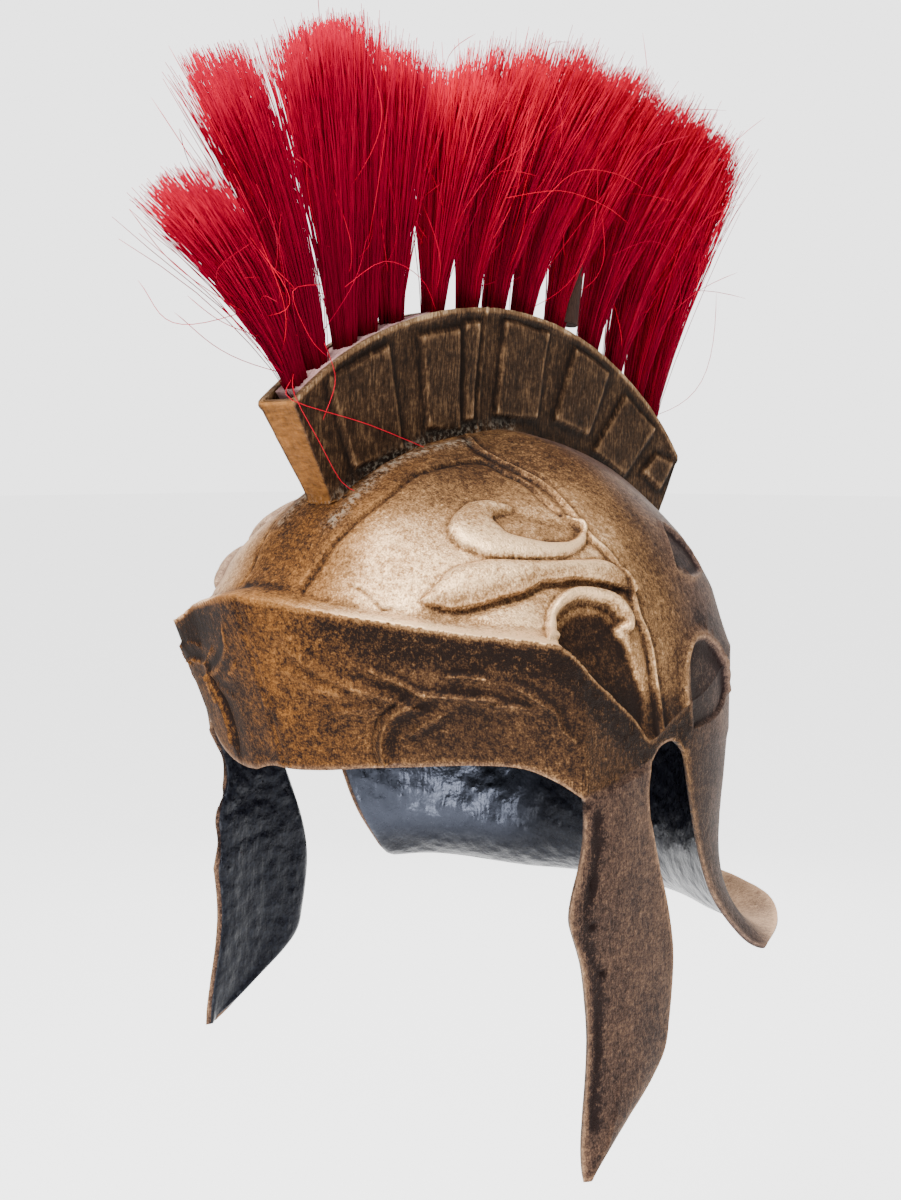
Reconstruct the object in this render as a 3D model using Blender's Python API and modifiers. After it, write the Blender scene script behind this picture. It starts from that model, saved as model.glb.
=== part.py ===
"""Roman legionary helmet: a one-piece cast shell, its crest box and its plume.

Metres, +Z up, +X the wearer's left, -Y the front. The origin is the top of the
hollow, where the crown rests on the wearer's head. Azimuth is measured in
degrees round the head from the front, and height above the widest line.
"""

from math import asin, atan2, cos, degrees, hypot, pi, radians, sin, sqrt

import bmesh
import bpy
from mathutils import Vector

# Driving sizes of the shell
WALL = 0.003
SKULL_RISE = 0.104
WIDEST_LINE = WALL - SKULL_RISE
GAP = 0.0003
SEAT_GAP = 0.0006

# Plan radius of the skull on five azimuths, at each of these heights
SECTION_HEIGHTS = (0.1040, 0.1020, 0.0960, 0.0880, 0.0780, 0.0660, 0.0540, 0.0400, 0.0200, 0.0)
SKULL_SECTIONS = (  # azimuth, radius at each height
    (0.0, (0.0, 0.0200, 0.0480, 0.0680, 0.0850, 0.0985, 0.1060, 0.1105, 0.1132, 0.1140)),
    (47.0, (0.0, 0.0135, 0.0290, 0.0450, 0.0640, 0.0830, 0.0958, 0.1030, 0.1055, 0.1055)),
    (90.0, (0.0, 0.0185, 0.0360, 0.0505, 0.0630, 0.0738, 0.0817, 0.0884, 0.0938, 0.0955)),
    (133.0, (0.0, 0.0165, 0.0325, 0.0480, 0.0615, 0.0738, 0.0827, 0.0898, 0.0948, 0.0960)),
    (180.0, (0.0, 0.0200, 0.0470, 0.0640, 0.0765, 0.0855, 0.0915, 0.0960, 0.0985, 0.0990)),
)

# Brow guard: its proud upper ridge and its lower edge, from the middle to the ear
RIDGE_LINE = (  # half_width, forward, height
    (0.0000, 0.1310, 0.0480),
    (0.0360, 0.1110, 0.0413),
    (0.0670, 0.0930, 0.0367),
    (0.0920, 0.0785, 0.0340),
    (0.0975, 0.0700, 0.0310),
    (0.0980, 0.0550, 0.0195),
    (0.0980, 0.0350, 0.0050),
    (0.0980, 0.0255, -0.0035),
    (0.0965, 0.0100, 0.0020),
    (0.0955, -0.0020, 0.0060),
)
BROW_EDGE_LINE = (  # half_width, forward, height
    (0.0000, 0.1073, -0.0160),
    (0.0340, 0.0920, -0.0120),
    (0.0730, 0.0750, -0.0085),
    (0.0880, 0.0675, -0.0115),
    (0.0975, 0.0620, -0.0180),
)
EAR_ARCH_LINE = (  # half_width, forward, height
    (0.0980, 0.0250, -0.0110),
    (0.0970, 0.0190, -0.0070),
    (0.0962, 0.0120, -0.0060),
    (0.0956, 0.0050, -0.0075),
    (0.0955, 0.0010, -0.0115),
)
LEDGE_DROP_FRONT = 0.015
LEDGE_DROP_EAR = 0.009
LEDGE_FADE_START = 50.0
LEDGE_FADE_SPAN = 25.0
LEDGE_HOLLOW = 0.15

# The right front of the casting sags: its brow corner, and its lower edge
RIGHT_CORNER_SAG = 0.006
RIGHT_CORNER_SPREAD = 0.004
RIGHT_CORNER_SPANS = ((33.0, 15.0), (56.0, 18.0))  # azimuth and span: growing, then fading
RIGHT_EDGE_SAG = 0.009
RIGHT_CHEEK_TRIM = 0.009
CHEEK_TRIM_TOP = -0.020
CHEEK_TRIM_SPAN = 0.058

# Cheek guard, from its root to its tip: where each cross-line meets its two edges
CHEEK_LINES = (  # front_forward, front_height, rear_forward, rear_height, half_width
    (0.0620, -0.0180, 0.0250, -0.0110, 0.0980),
    (0.0615, -0.0300, 0.0262, -0.0240, 0.0980),
    (0.0635, -0.0400, 0.0230, -0.0370, 0.0978),
    (0.0670, -0.0490, 0.0180, -0.0500, 0.0976),
    (0.0685, -0.0570, 0.0135, -0.0620, 0.0975),
    (0.0655, -0.0650, 0.0105, -0.0740, 0.0975),
    (0.0620, -0.0740, 0.0098, -0.0840, 0.0976),
    (0.0600, -0.0860, 0.0108, -0.0940, 0.0978),
    (0.0590, -0.0980, 0.0125, -0.1040, 0.0981),
    (0.0600, -0.1110, 0.0150, -0.1140, 0.0985),
    (0.0620, -0.1230, 0.0230, -0.1220, 0.0990),
    (0.0635, -0.1330, 0.0370, -0.1310, 0.0995),
    (0.0640, -0.1400, 0.0500, -0.1395, 0.1000),
    (0.0642, -0.1450, 0.0590, -0.1445, 0.1002),
)
CHEEK_CROWNING = 0.0020

# Back of the helmet below the ear line: edge behind the ear, and the middle of the back
BACK_LINES = (  # edge_half_width, edge_forward, edge_height, middle_back, middle_height
    (0.0955, 0.0010, -0.0115, 0.0985, -0.0115),
    (0.0955, -0.0030, -0.0270, 0.0960, -0.0270),
    (0.0952, -0.0075, -0.0410, 0.0920, -0.0430),
    (0.0950, -0.0130, -0.0550, 0.0882, -0.0580),
    (0.0952, -0.0195, -0.0670, 0.0870, -0.0710),
    (0.0962, -0.0260, -0.0755, 0.0905, -0.0830),
    (0.0975, -0.0320, -0.0820, 0.0985, -0.0920),
    (0.0990, -0.0370, -0.0870, 0.1085, -0.0965),
    (0.1005, -0.0415, -0.0900, 0.1180, -0.0960),
    (0.1020, -0.0460, -0.0915, 0.1280, -0.0915),
)
BACK_EASE = 1.6
BACK_RIDGE_HEIGHT = 0.020
BACK_SHOULDER_HEIGHT = 0.042
BACK_BLEND = 35.0

# Mesh steps round and down one half of the shell
BROW_STEPS = 14
CHEEK_STEPS = 5
ARCH_STEPS = 4
BACK_STEPS = 14
DOME_STEPS = 10
LEDGE_STEPS = 4
FACE_STEPS = 2

# Cast relief on the skull: azimuth and height along each band, its width and its proudness
RELIEF_BANDS = (
    ("upper_volute", 0.0075, 0.0022, ((64.0, 0.0770), (50.0, 0.0760), (41.0, 0.0700),
                                      (45.0, 0.0620), (58.0, 0.0590), (67.0, 0.0610),
                                      (70.0, 0.0660), (65.5, 0.0695))),
    ("long_leaf", 0.0090, 0.0024, ((29.0, 0.0440), (36.0, 0.0475), (45.0, 0.0500),
                                   (54.0, 0.0520), (62.0, 0.0530))),
    ("lower_volute", 0.0060, 0.0022, ((53.0, 0.0340), (53.5, 0.0430), (60.0, 0.0495),
                                      (69.0, 0.0485), (75.0, 0.0400), (73.0, 0.0310))),
    ("mould_seam", 0.0045, 0.0014, ((45.0, 0.0940), (57.0, 0.0850), (67.0, 0.0710),
                                    (76.0, 0.0560), (79.0, 0.0360), (81.0, 0.0120),
                                    (82.5, -0.0020))),
    ("back_arch", 0.0045, 0.0016, ((92.5, 0.0040), (93.5, 0.0180), (98.0, 0.0270),
                                   (106.0, 0.0250), (113.0, 0.0150), (115.0, 0.0020))),
    ("back_oval", 0.0050, 0.0014, ((100.0, 0.0530), (108.0, 0.0670), (119.0, 0.0620),
                                   (121.0, 0.0510), (109.0, 0.0470), (101.5, 0.0500))),
)
BAND_SPAN_STEPS = 2
BAND_SINK = 0.0009
BAND_KEEL = 0.0016
BAND_TOP_SHARE = 0.55
BAND_TOP_PROUD = 0.85
BAND_TIP_SHARE = 0.35

# Crest box: a flaring trough whose rim is an arc in the middle plane
RIM_CENTRE_BACK = -0.0027
RIM_CENTRE_HEIGHT = -0.0117
RIM_RADIUS = 0.161
RIM_FRONT_TURN = -40.4
RIM_BACK_TURN = 49.2
FOOT_FRONT_TURN = -43.5
FOOT_BACK_TURN = 52.0
FOOT_BACK_RAKE = 7.5
BOX_FOOT_HALF = 0.0062
BOX_RIM_HALF = 0.0093
BOX_WALL = 0.0022
BOX_DEPTH = 0.040
BOX_FLOOR_RISE = 0.12
BOX_PAST_RIM = 1.2
BOX_STEPS = 24
BOX_PANELS = (  # share of the box's length where each raised panel starts and ends
    (0.065, 0.205), (0.275, 0.360), (0.370, 0.410), (0.465, 0.570), (0.640, 0.740),
    (0.790, 0.895), (0.915, 0.975),
)
PANEL_PROUD = 0.0010
PANEL_SINK = 0.0008
PANEL_STEPS = 3
PANEL_FOOT = 0.16
PANEL_HEAD = 0.85

# Plume: a backing strip wedged in the box's mouth, and a row of locks rooted in it
STRIP_FRONT_TURN = -38.0
STRIP_BACK_TURN = 47.0
STRIP_DEPTH = 0.009
STRIP_STAND = 0.0012
STRIP_STEPS = 28
LOCK_ROOT_DEPTH = 0.004
LOCKS = (  # root_back, tip_back, tip_height, half_spread
    (-0.099, -0.148, 0.174, 0.0120),
    (-0.090, -0.128, 0.214, 0.0120),
    (-0.081, -0.096, 0.230, 0.0130),
    (-0.071, -0.068, 0.236, 0.0130),
    (-0.056, -0.040, 0.232, 0.0120),
    (-0.031, -0.014, 0.236, 0.0140),
    (-0.012, 0.012, 0.248, 0.0140),
    (0.003, 0.038, 0.257, 0.0140),
    (0.020, 0.064, 0.260, 0.0135),
    (0.041, 0.091, 0.257, 0.0135),
    (0.063, 0.117, 0.251, 0.0130),
    (0.081, 0.140, 0.246, 0.0120),
    (0.097, 0.157, 0.244, 0.0095),
    (0.108, 0.156, 0.226, 0.0070),
)
LOCK_ROOT_HALF = 0.0046
LOCK_TIP_HALF_THICKNESS = 0.0150
LOCK_STEPS = 5
LOCK_SIDES = 8
LOCK_BEND_LEAN = 0.28
LOCK_BEND_RISE = 0.52
LOCK_SWELL = 0.9
LOCK_TIP_CLOSE = 0.80


def smooth_step(value):
    """Ease from 0 to 1 with level ends."""
    value = min(1.0, max(0.0, value))
    return value * value * (3.0 - 2.0 * value)


def between(start, end, share):
    """Mix two numbers."""
    return start + (end - start) * share


def smooth_line(points, steps):
    """A rounded line through points, as a list with steps places for each span."""
    rows = [points[0]] + list(points) + [points[-1]]
    line = []
    for first, here, after, last in zip(rows, rows[1:], rows[2:], rows[3:]):
        for step in range(steps):
            t = step / steps
            line.append(tuple(
                0.5 * (2 * b + (c - a) * t + (2 * a - 5 * b + 4 * c - d) * t * t
                       + (3 * b - a - 3 * c + d) * t ** 3)
                for a, b, c, d in zip(first, here, after, last)))
    line.append(tuple(points[-1]))
    return line


def place(azimuth, radius, height):
    """The point at an azimuth in degrees, a plan radius and a height."""
    turn = radians(azimuth)
    return Vector((radius * sin(turn), -radius * cos(turn), height + WIDEST_LINE))


def azimuth_of(half_width, forward):
    """The azimuth of a place in plan."""
    return degrees(atan2(half_width, forward))


def at_azimuth(line, azimuth):
    """Radius and height where a line of half_width, forward, height crosses an azimuth."""
    for near, far in zip(line, line[1:]):
        low, high = azimuth_of(*near[:2]), azimuth_of(*far[:2])
        if low - 1e-6 <= azimuth <= high + 1e-6:
            share = (azimuth - low) / (high - low)
            spot = [between(a, b, share) for a, b in zip(near, far)]
            return hypot(spot[0], spot[1]), spot[2]
    return hypot(*line[-1][:2]), line[-1][2]


def spline(values, spacing, at):
    """A smooth curve through values at the places in spacing, read at one place."""
    last = len(values) - 1
    span = 0
    while span < last - 1 and at > spacing[span + 1]:
        span += 1
    width = spacing[span + 1] - spacing[span]
    t = min(1.0, max(0.0, (at - spacing[span]) / width))
    slopes = []
    for node in (span, span + 1):
        before, after = max(node - 1, 0), min(node + 1, last)
        slopes.append((values[after] - values[before]) / (spacing[after] - spacing[before]) * width)
    near, far = values[span], values[span + 1]
    return ((2 * t ** 3 - 3 * t * t + 1) * near + (t ** 3 - 2 * t * t + t) * slopes[0]
            + (3 * t * t - 2 * t ** 3) * far + (t ** 3 - t * t) * slopes[1])


def down_share(height):
    """How far down the dome a height is, so that radius grows evenly from the crown."""
    return sqrt(max(0.0, 1.0 - height / SKULL_RISE))


SECTION_PLACES = tuple(down_share(height) for height in SECTION_HEIGHTS)
SECTION_AZIMUTHS = tuple([-47.0] + [row[0] for row in SKULL_SECTIONS] + [227.0])
MIRRORED_SECTIONS = (SKULL_SECTIONS[1],) + SKULL_SECTIONS + (SKULL_SECTIONS[3],)


def skull_radius(azimuth, height=0.0):
    """Plan radius of the skull's outer face at a height."""
    place_down = down_share(max(height, 0.0))
    radii = [spline(radii, SECTION_PLACES, place_down) for _, radii in MIRRORED_SECTIONS]
    return spline(radii, SECTION_AZIMUTHS, azimuth)


def skull_point(azimuth, height):
    """A point of the skull's outer face above the widest line."""
    return place(azimuth, skull_radius(azimuth, height), height)


def skull_height(side, back):
    """Height of the skull's outer face over a place in plan."""
    azimuth, radius = azimuth_of(abs(side), -back), hypot(side, back)
    low, high = 0.0, SKULL_RISE
    for _ in range(30):
        middle = (low + high) / 2.0
        if skull_radius(azimuth, middle) > radius:
            low = middle
        else:
            high = middle
    return low


def skull_normal(azimuth, height):
    """The outward direction of the skull's outer face."""
    step_round = 0.5
    step_down = 0.0008
    across = skull_point(azimuth + step_round, height) - skull_point(azimuth - step_round, height)
    down = skull_point(azimuth, height - step_down) - skull_point(azimuth, height + step_down)
    return down.cross(across).normalized()


RIDGE = smooth_line(RIDGE_LINE, 4)
BROW_EDGE = smooth_line(BROW_EDGE_LINE, 4)
EAR_ARCH = smooth_line(EAR_ARCH_LINE, 3)
CHEEK_ROOT = ((CHEEK_LINES[0][4], CHEEK_LINES[0][0], CHEEK_LINES[0][1]),
              (CHEEK_LINES[0][4], CHEEK_LINES[0][2], CHEEK_LINES[0][3]))
BROW_END = azimuth_of(*BROW_EDGE_LINE[-1][:2])
CHEEK_END = azimuth_of(*EAR_ARCH_LINE[0][:2])
ARCH_END = azimuth_of(*EAR_ARCH_LINE[-1][:2])
RIDGE_END = azimuth_of(*RIDGE_LINE[-1][:2])
LEFT, RIGHT = 1, -1


def ridge_at(azimuth, side):
    """Radius and height of the brow ridge, carried on round the back as a plain line."""
    radius, height = at_azimuth(RIDGE, min(azimuth, RIDGE_END))
    if azimuth > RIDGE_END:
        share = smooth_step((azimuth - RIDGE_END) / BACK_BLEND)
        radius = skull_radius(azimuth) + (radius - skull_radius(RIDGE_END)) * (1.0 - share)
        height = between(height, BACK_RIDGE_HEIGHT, share)
    if side == RIGHT:
        growing, fading = [smooth_step((azimuth - start) / span)
                           for start, span in RIGHT_CORNER_SPANS]
        sag = growing * (1.0 - fading)
        radius += RIGHT_CORNER_SPREAD * sag
        height -= RIGHT_CORNER_SAG * sag
    return radius, height


def edge_at(azimuth, side):
    """Radius and height of the line where the brow, cheek guard, ear and back begin."""
    if azimuth <= BROW_END:
        radius, height = at_azimuth(BROW_EDGE, azimuth)
        if side == RIGHT:
            sag = sin(pi * azimuth / BROW_END)
            radius += RIGHT_CORNER_SPREAD * sag
            height -= RIGHT_EDGE_SAG * sag
        return radius, height
    if azimuth <= CHEEK_END:
        return at_azimuth(CHEEK_ROOT, azimuth)
    if azimuth <= ARCH_END:
        return at_azimuth(EAR_ARCH, azimuth)
    start_radius, height = at_azimuth(EAR_ARCH, ARCH_END)
    share = smooth_step((azimuth - ARCH_END) / BACK_BLEND)
    return skull_radius(azimuth) + (start_radius - skull_radius(ARCH_END)) * (1.0 - share), height


def section(azimuth, side):
    """The shell's outer face from crown to lower edge, on one azimuth of one side."""
    ridge_radius, ridge_height = ridge_at(azimuth, side)
    edge_radius, edge_height = edge_at(azimuth, side)
    front_share = 1.0 - smooth_step((azimuth - LEDGE_FADE_START) / LEDGE_FADE_SPAN)
    shoulder = ridge_height + between(LEDGE_DROP_EAR, LEDGE_DROP_FRONT, front_share)
    back_share = smooth_step((azimuth - ARCH_END) / BACK_BLEND)
    shoulder = between(shoulder, BACK_SHOULDER_HEIGHT, back_share)
    lowest_turn = asin(shoulder / SKULL_RISE)
    points = []
    for step in range(1, DOME_STEPS + 1):
        turn = between(pi / 2.0, lowest_turn, step / DOME_STEPS)
        points.append(skull_point(azimuth, SKULL_RISE * sin(turn)))
    start = points[-1]
    end = place(azimuth, ridge_radius, ridge_height)
    corner_height = between(ridge_height, shoulder, LEDGE_HOLLOW)
    corner = place(azimuth, skull_radius(azimuth, corner_height), corner_height)
    for step in range(1, LEDGE_STEPS + 1):
        t = step / LEDGE_STEPS
        points.append(start * (1 - t) ** 2 + corner * 2 * t * (1 - t) + end * t * t)
    edge = place(azimuth, edge_radius, edge_height)
    for step in range(1, FACE_STEPS + 1):
        points.append(end.lerp(edge, step / FACE_STEPS))
    return points


def azimuths():
    """The azimuths of the shell's columns, front to back."""
    stops = ((0.0, BROW_END, BROW_STEPS), (BROW_END, CHEEK_END, CHEEK_STEPS),
             (CHEEK_END, ARCH_END, ARCH_STEPS), (ARCH_END, 180.0, BACK_STEPS))
    turns = [start + (end - start) * step / steps
             for start, end, steps in stops for step in range(steps)]
    return turns + [180.0]


def cheek_rows(root_row):
    """Places of the cheek guard's rows below its root, for the left side."""
    rows = [root_row]
    for front, front_height, rear, rear_height, half_width in CHEEK_LINES[1:]:
        row = []
        for step in range(CHEEK_STEPS + 1):
            share = step / CHEEK_STEPS
            bulge = CHEEK_CROWNING * sin(pi * share)
            row.append(Vector((half_width + bulge, -between(front, rear, share),
                               between(front_height, rear_height, share) + WIDEST_LINE)))
        rows.append(row)
    return rows


def trim_cheek(rows):
    """Draw in the front edge of the right cheek guard, where it is cut narrower."""
    for row in rows[1:]:
        height = row[0].z - WIDEST_LINE
        draw = sin(pi * min(1.0, max(0.0, (CHEEK_TRIM_TOP - height) / CHEEK_TRIM_SPAN)))
        for step, point in enumerate(row):
            point.y += RIGHT_CHEEK_TRIM * draw * (1.0 - step / CHEEK_STEPS)


def back_rows(root_row):
    """Places of the back's and neck guard's rows below their root, for the left side."""
    rows = [root_row]
    for width, forward, height, middle_back, middle_height in BACK_LINES[1:]:
        start = azimuth_of(width, forward)
        edge_added = hypot(width, forward) - skull_radius(start)
        middle_added = middle_back - skull_radius(180.0)
        row = []
        for step in range(BACK_STEPS + 1):
            share = step / BACK_STEPS
            azimuth = between(start, 180.0, share)
            ease = smooth_step(share * BACK_EASE)
            level = between(height, middle_height, ease)
            added = between(edge_added, middle_added, ease)
            row.append(place(azimuth, skull_radius(azimuth) + added, level))
        rows.append(row)
    return rows


def add_sheet(mesh, rows, side):
    """Add a net of faces through rows of places, facing outward on either side."""
    net = [[mesh.verts.new((side * point.x, point.y, point.z)) for point in row] for row in rows]
    for upper, lower in zip(net, net[1:]):
        for corners in zip(upper, lower, lower[1:], upper[1:]):
            mesh.faces.new(corners[::side])
    return net


def material(name, colour, roughness, metallic):
    """A plain Principled finish."""
    finish = bpy.data.materials.new(name)
    finish.use_nodes = True
    shader = finish.node_tree.nodes["Principled BSDF"]
    shader.inputs["Base Color"].default_value = (*colour, 1.0)
    shader.inputs["Roughness"].default_value = roughness
    shader.inputs["Metallic"].default_value = metallic
    finish.diffuse_color = (*colour, 1.0)
    return finish


def new_object(name, mesh, collection):
    """Turn a bmesh into a named object."""
    data = bpy.data.meshes.new(name)
    mesh.to_mesh(data)
    mesh.free()
    item = bpy.data.objects.new(name, data)
    collection.objects.link(item)
    return item


def add_loft(mesh, rings):
    """A closed solid through rings of places that all have the same number of corners."""
    loops = [[mesh.verts.new(point) for point in ring] for ring in rings]
    for near, far in zip(loops, loops[1:]):
        for index in range(len(near)):
            after = (index + 1) % len(near)
            mesh.faces.new((near[index], near[after], far[after], far[index]))
    mesh.faces.new(loops[0][::-1])
    mesh.faces.new(loops[-1])


def solid(name, lofts, collection):
    """One object of closed lofts, its faces turned outward."""
    mesh = bmesh.new()
    for rings in lofts:
        add_loft(mesh, rings)
    bmesh.ops.recalc_face_normals(mesh, faces=mesh.faces)
    return new_object(name, mesh, collection)


def combine(target, tool, operation):
    """Add a Boolean of a guide solid to a piece."""
    tool.hide_render = True
    tool.display_type = 'WIRE'
    change = target.modifiers.new(tool.name, 'BOOLEAN')
    change.operation = operation
    change.solver = 'EXACT'
    change.object = tool


def band_rings(path, width, proud, side):
    """Cross-sections of a raised band that lies on the skull and tapers to both ends."""
    line = smooth_line(path, BAND_SPAN_STEPS)
    places = [skull_point(azimuth, height) for azimuth, height in line]
    rings = []
    for index, (azimuth, height) in enumerate(line):
        here = places[index]
        along = (places[min(index + 1, len(places) - 1)] - places[max(index - 1, 0)]).normalized()
        out = skull_normal(azimuth, max(height, 0.001))
        across = out.cross(along).normalized()
        along_share = (index + 0.5) / len(places)
        taper = between(BAND_TIP_SHARE, 1.0, sqrt(sin(pi * along_share)))
        side_way = across * (width / 2.0 * taper)
        top_way = side_way * BAND_TOP_SHARE
        rise = out * (proud * BAND_TOP_PROUD * taper)
        sink = out * BAND_SINK
        ring = [here - side_way - sink, here - top_way + rise, here + top_way + rise,
                here + side_way - sink, here - out * BAND_KEEL]
        rings.append([Vector((side * point.x, point.y, point.z)) for point in ring])
    return rings


def make_shell(parts, guides, finish):
    """The cast shell: two sides joined in the middle, thickened inward, relief raised on it."""
    mesh = bmesh.new()
    crown = Vector((0.0, 0.0, SKULL_RISE + WIDEST_LINE))
    cheek_start, cheek_stop = BROW_STEPS, BROW_STEPS + CHEEK_STEPS
    for side in (LEFT, RIGHT):
        columns = [section(azimuth, side) for azimuth in azimuths()]
        rows = [list(row) for row in zip(*columns)]
        net = add_sheet(mesh, rows, side)
        top = mesh.verts.new(crown)
        for corners in zip(net[0], net[0][1:]):
            mesh.faces.new((top, *corners)[::side])
        cheeks = cheek_rows(rows[-1][cheek_start:cheek_stop + 1])
        if side == RIGHT:
            trim_cheek(cheeks)
        add_sheet(mesh, cheeks, side)
        add_sheet(mesh, back_rows(rows[-1][cheek_stop + ARCH_STEPS:]), side)
    bmesh.ops.remove_doubles(mesh, verts=mesh.verts, dist=0.00001)
    shell = new_object("helmet_shell", mesh, parts)
    wall = shell.modifiers.new("wall", 'SOLIDIFY')
    wall.thickness = WALL
    wall.offset = -1.0
    wall.use_even_offset = True
    for name, width, proud, path in RELIEF_BANDS:
        for side, suffix in ((LEFT, "left"), (RIGHT, "right")):
            rings = band_rings(path, width, proud, side)
            band = solid(name + "_" + suffix, [rings], guides)
            combine(shell, band, 'UNION')
    shell.data.materials.append(finish)
    return shell


def rim_place(turn, drop=0.0):
    """Back and height of a place on the crest's arc, or some way below it."""
    reach = RIM_RADIUS - drop
    return (RIM_CENTRE_BACK + reach * sin(radians(turn)),
            RIM_CENTRE_HEIGHT + reach * cos(radians(turn)) + WIDEST_LINE)


def foot_place(share, side_place):
    """A place on the skull, under the crest box, on a line that fans from the rim's centre."""
    turn = radians(between(FOOT_FRONT_TURN, FOOT_BACK_TURN, share) + FOOT_BACK_RAKE * share ** 6)
    inside, outside = 0.06, RIM_RADIUS
    for _ in range(30):
        reach = (inside + outside) / 2.0
        back = RIM_CENTRE_BACK + reach * sin(turn)
        height = RIM_CENTRE_HEIGHT + reach * cos(turn)
        if height < skull_height(side_place, back):
            inside = reach
        else:
            outside = reach
    reach = outside + SEAT_GAP
    return Vector((side_place, RIM_CENTRE_BACK + reach * sin(turn),
                   RIM_CENTRE_HEIGHT + reach * cos(turn) + WIDEST_LINE))


def box_corner(share, rise, side, added):
    """A place on the crest box's side wall: share along it, rise from foot to rim."""
    foot = foot_place(share, side * BOX_FOOT_HALF)
    rim = Vector((side * BOX_RIM_HALF, *rim_place(between(RIM_FRONT_TURN, RIM_BACK_TURN, share))))
    return foot.lerp(rim, rise) + Vector((side * added, 0.0, 0.0))


def make_crest_box(parts, guides, finish):
    """The trough that holds the plume, with a floor, two end plates and raised panels."""
    body = []
    hollow = []
    rim_length = RIM_RADIUS * radians(RIM_BACK_TURN - RIM_FRONT_TURN)
    end_share = BOX_WALL / rim_length
    for step in range(BOX_STEPS + 1):
        share = step / BOX_STEPS
        body.append([box_corner(share, 0.0, RIGHT, 0.0), foot_place(share, 0.0),
                     box_corner(share, 0.0, LEFT, 0.0), box_corner(share, 1.0, LEFT, 0.0),
                     box_corner(share, 1.0, RIGHT, 0.0)])
        inner = between(end_share, 1.0 - end_share, share)
        hollow.append([box_corner(inner, BOX_FLOOR_RISE, RIGHT, -BOX_WALL),
                       box_corner(inner, BOX_FLOOR_RISE, LEFT, -BOX_WALL),
                       box_corner(inner, BOX_PAST_RIM, LEFT, -BOX_WALL),
                       box_corner(inner, BOX_PAST_RIM, RIGHT, -BOX_WALL)])
    box = solid("crest_box", [body], parts)
    combine(box, solid("box_hollow", [hollow], guides), 'DIFFERENCE')
    plates = []
    for start, stop in BOX_PANELS:
        for side in (LEFT, RIGHT):
            rings = []
            for step in range(PANEL_STEPS + 1):
                share = between(start, stop, step / PANEL_STEPS)
                rings.append([box_corner(share, PANEL_FOOT, side, -PANEL_SINK),
                              box_corner(share, PANEL_FOOT, side, PANEL_PROUD),
                              box_corner(share, PANEL_HEAD, side, PANEL_PROUD),
                              box_corner(share, PANEL_HEAD, side, -PANEL_SINK)])
            plates.append(rings)
    combine(box, solid("box_panels", plates, guides), 'UNION')
    box.data.materials.append(finish)
    return box


def strip_half(drop):
    """Half width of the box's mouth some way below its rim, less the gap."""
    flare = (BOX_RIM_HALF - BOX_FOOT_HALF) / BOX_DEPTH
    return BOX_RIM_HALF - BOX_WALL - flare * drop - GAP


def lock_rings(root_back, tip_back, tip_height, half_spread):
    """Cross-sections of one lock, from its root in the strip to its brushed-out tip."""
    turn = degrees(asin((root_back - RIM_CENTRE_BACK) / RIM_RADIUS))
    root = Vector((0.0, *rim_place(turn, LOCK_ROOT_DEPTH)))
    tip = Vector((0.0, tip_back, tip_height + WIDEST_LINE))
    bend = root + Vector((0.0, (tip.y - root.y) * LOCK_BEND_LEAN, (tip.z - root.z) * LOCK_BEND_RISE))
    rings = []
    for step in range(LOCK_STEPS + 1):
        t = step / LOCK_STEPS
        centre = root * (1 - t) ** 2 + bend * 2 * t * (1 - t) + tip * t * t
        along = ((bend - root) * (1 - t) + (tip - bend) * t).normalized()
        across = Vector((1.0, 0.0, 0.0)).cross(along)
        close = 1.0 if step < LOCK_STEPS else LOCK_TIP_CLOSE
        spread = between(LOCK_ROOT_HALF, half_spread, t ** LOCK_SWELL) * close
        thick = between(LOCK_ROOT_HALF, LOCK_TIP_HALF_THICKNESS, t ** LOCK_SWELL) * close
        ring = []
        for corner in range(LOCK_SIDES):
            angle = 2.0 * pi * (corner + 0.5) / LOCK_SIDES
            ring.append(centre + across * spread * cos(angle)
                        + Vector((thick * sin(angle), 0.0, 0.0)))
        rings.append(ring)
    return rings


def make_plume(parts, guides, finish):
    """The backing strip with every lock fused to it."""
    rings = []
    for step in range(STRIP_STEPS + 1):
        turn = between(STRIP_FRONT_TURN, STRIP_BACK_TURN, step / STRIP_STEPS)
        ring = []
        for side, drop in ((RIGHT, STRIP_DEPTH), (LEFT, STRIP_DEPTH), (LEFT, 0.0), (RIGHT, 0.0)):
            ring.append(Vector((side * strip_half(drop), *rim_place(turn, drop - STRIP_STAND))))
        rings.append(ring)
    plume = solid("crest_plume", [rings], parts)
    for index, lock in enumerate(LOCKS):
        combine(plume, solid("lock_" + str(index + 1), [lock_rings(*lock)], guides), 'UNION')
    plume.data.materials.append(finish)
    return plume


def build():
    """Clear the scene and model the helmet."""
    for item in list(bpy.data.objects):
        bpy.data.objects.remove(item, do_unlink=True)
    parts = bpy.data.collections.new("roman_legionary_helmet")
    guides = bpy.data.collections.new("guides")
    for collection in (parts, guides):
        bpy.context.scene.collection.children.link(collection)
    make_shell(parts, guides, material("aged_bronze", (0.34, 0.23, 0.13), 0.42, 0.55))
    make_crest_box(parts, guides, material("dark_bronze", (0.20, 0.13, 0.08), 0.50, 0.50))
    make_plume(parts, guides, material("red_horsehair", (0.62, 0.01, 0.03), 0.55, 0.0))


build()
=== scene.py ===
import math

import bpy
import numpy as np
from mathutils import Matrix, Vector, noise
from mathutils.kdtree import KDTree


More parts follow.
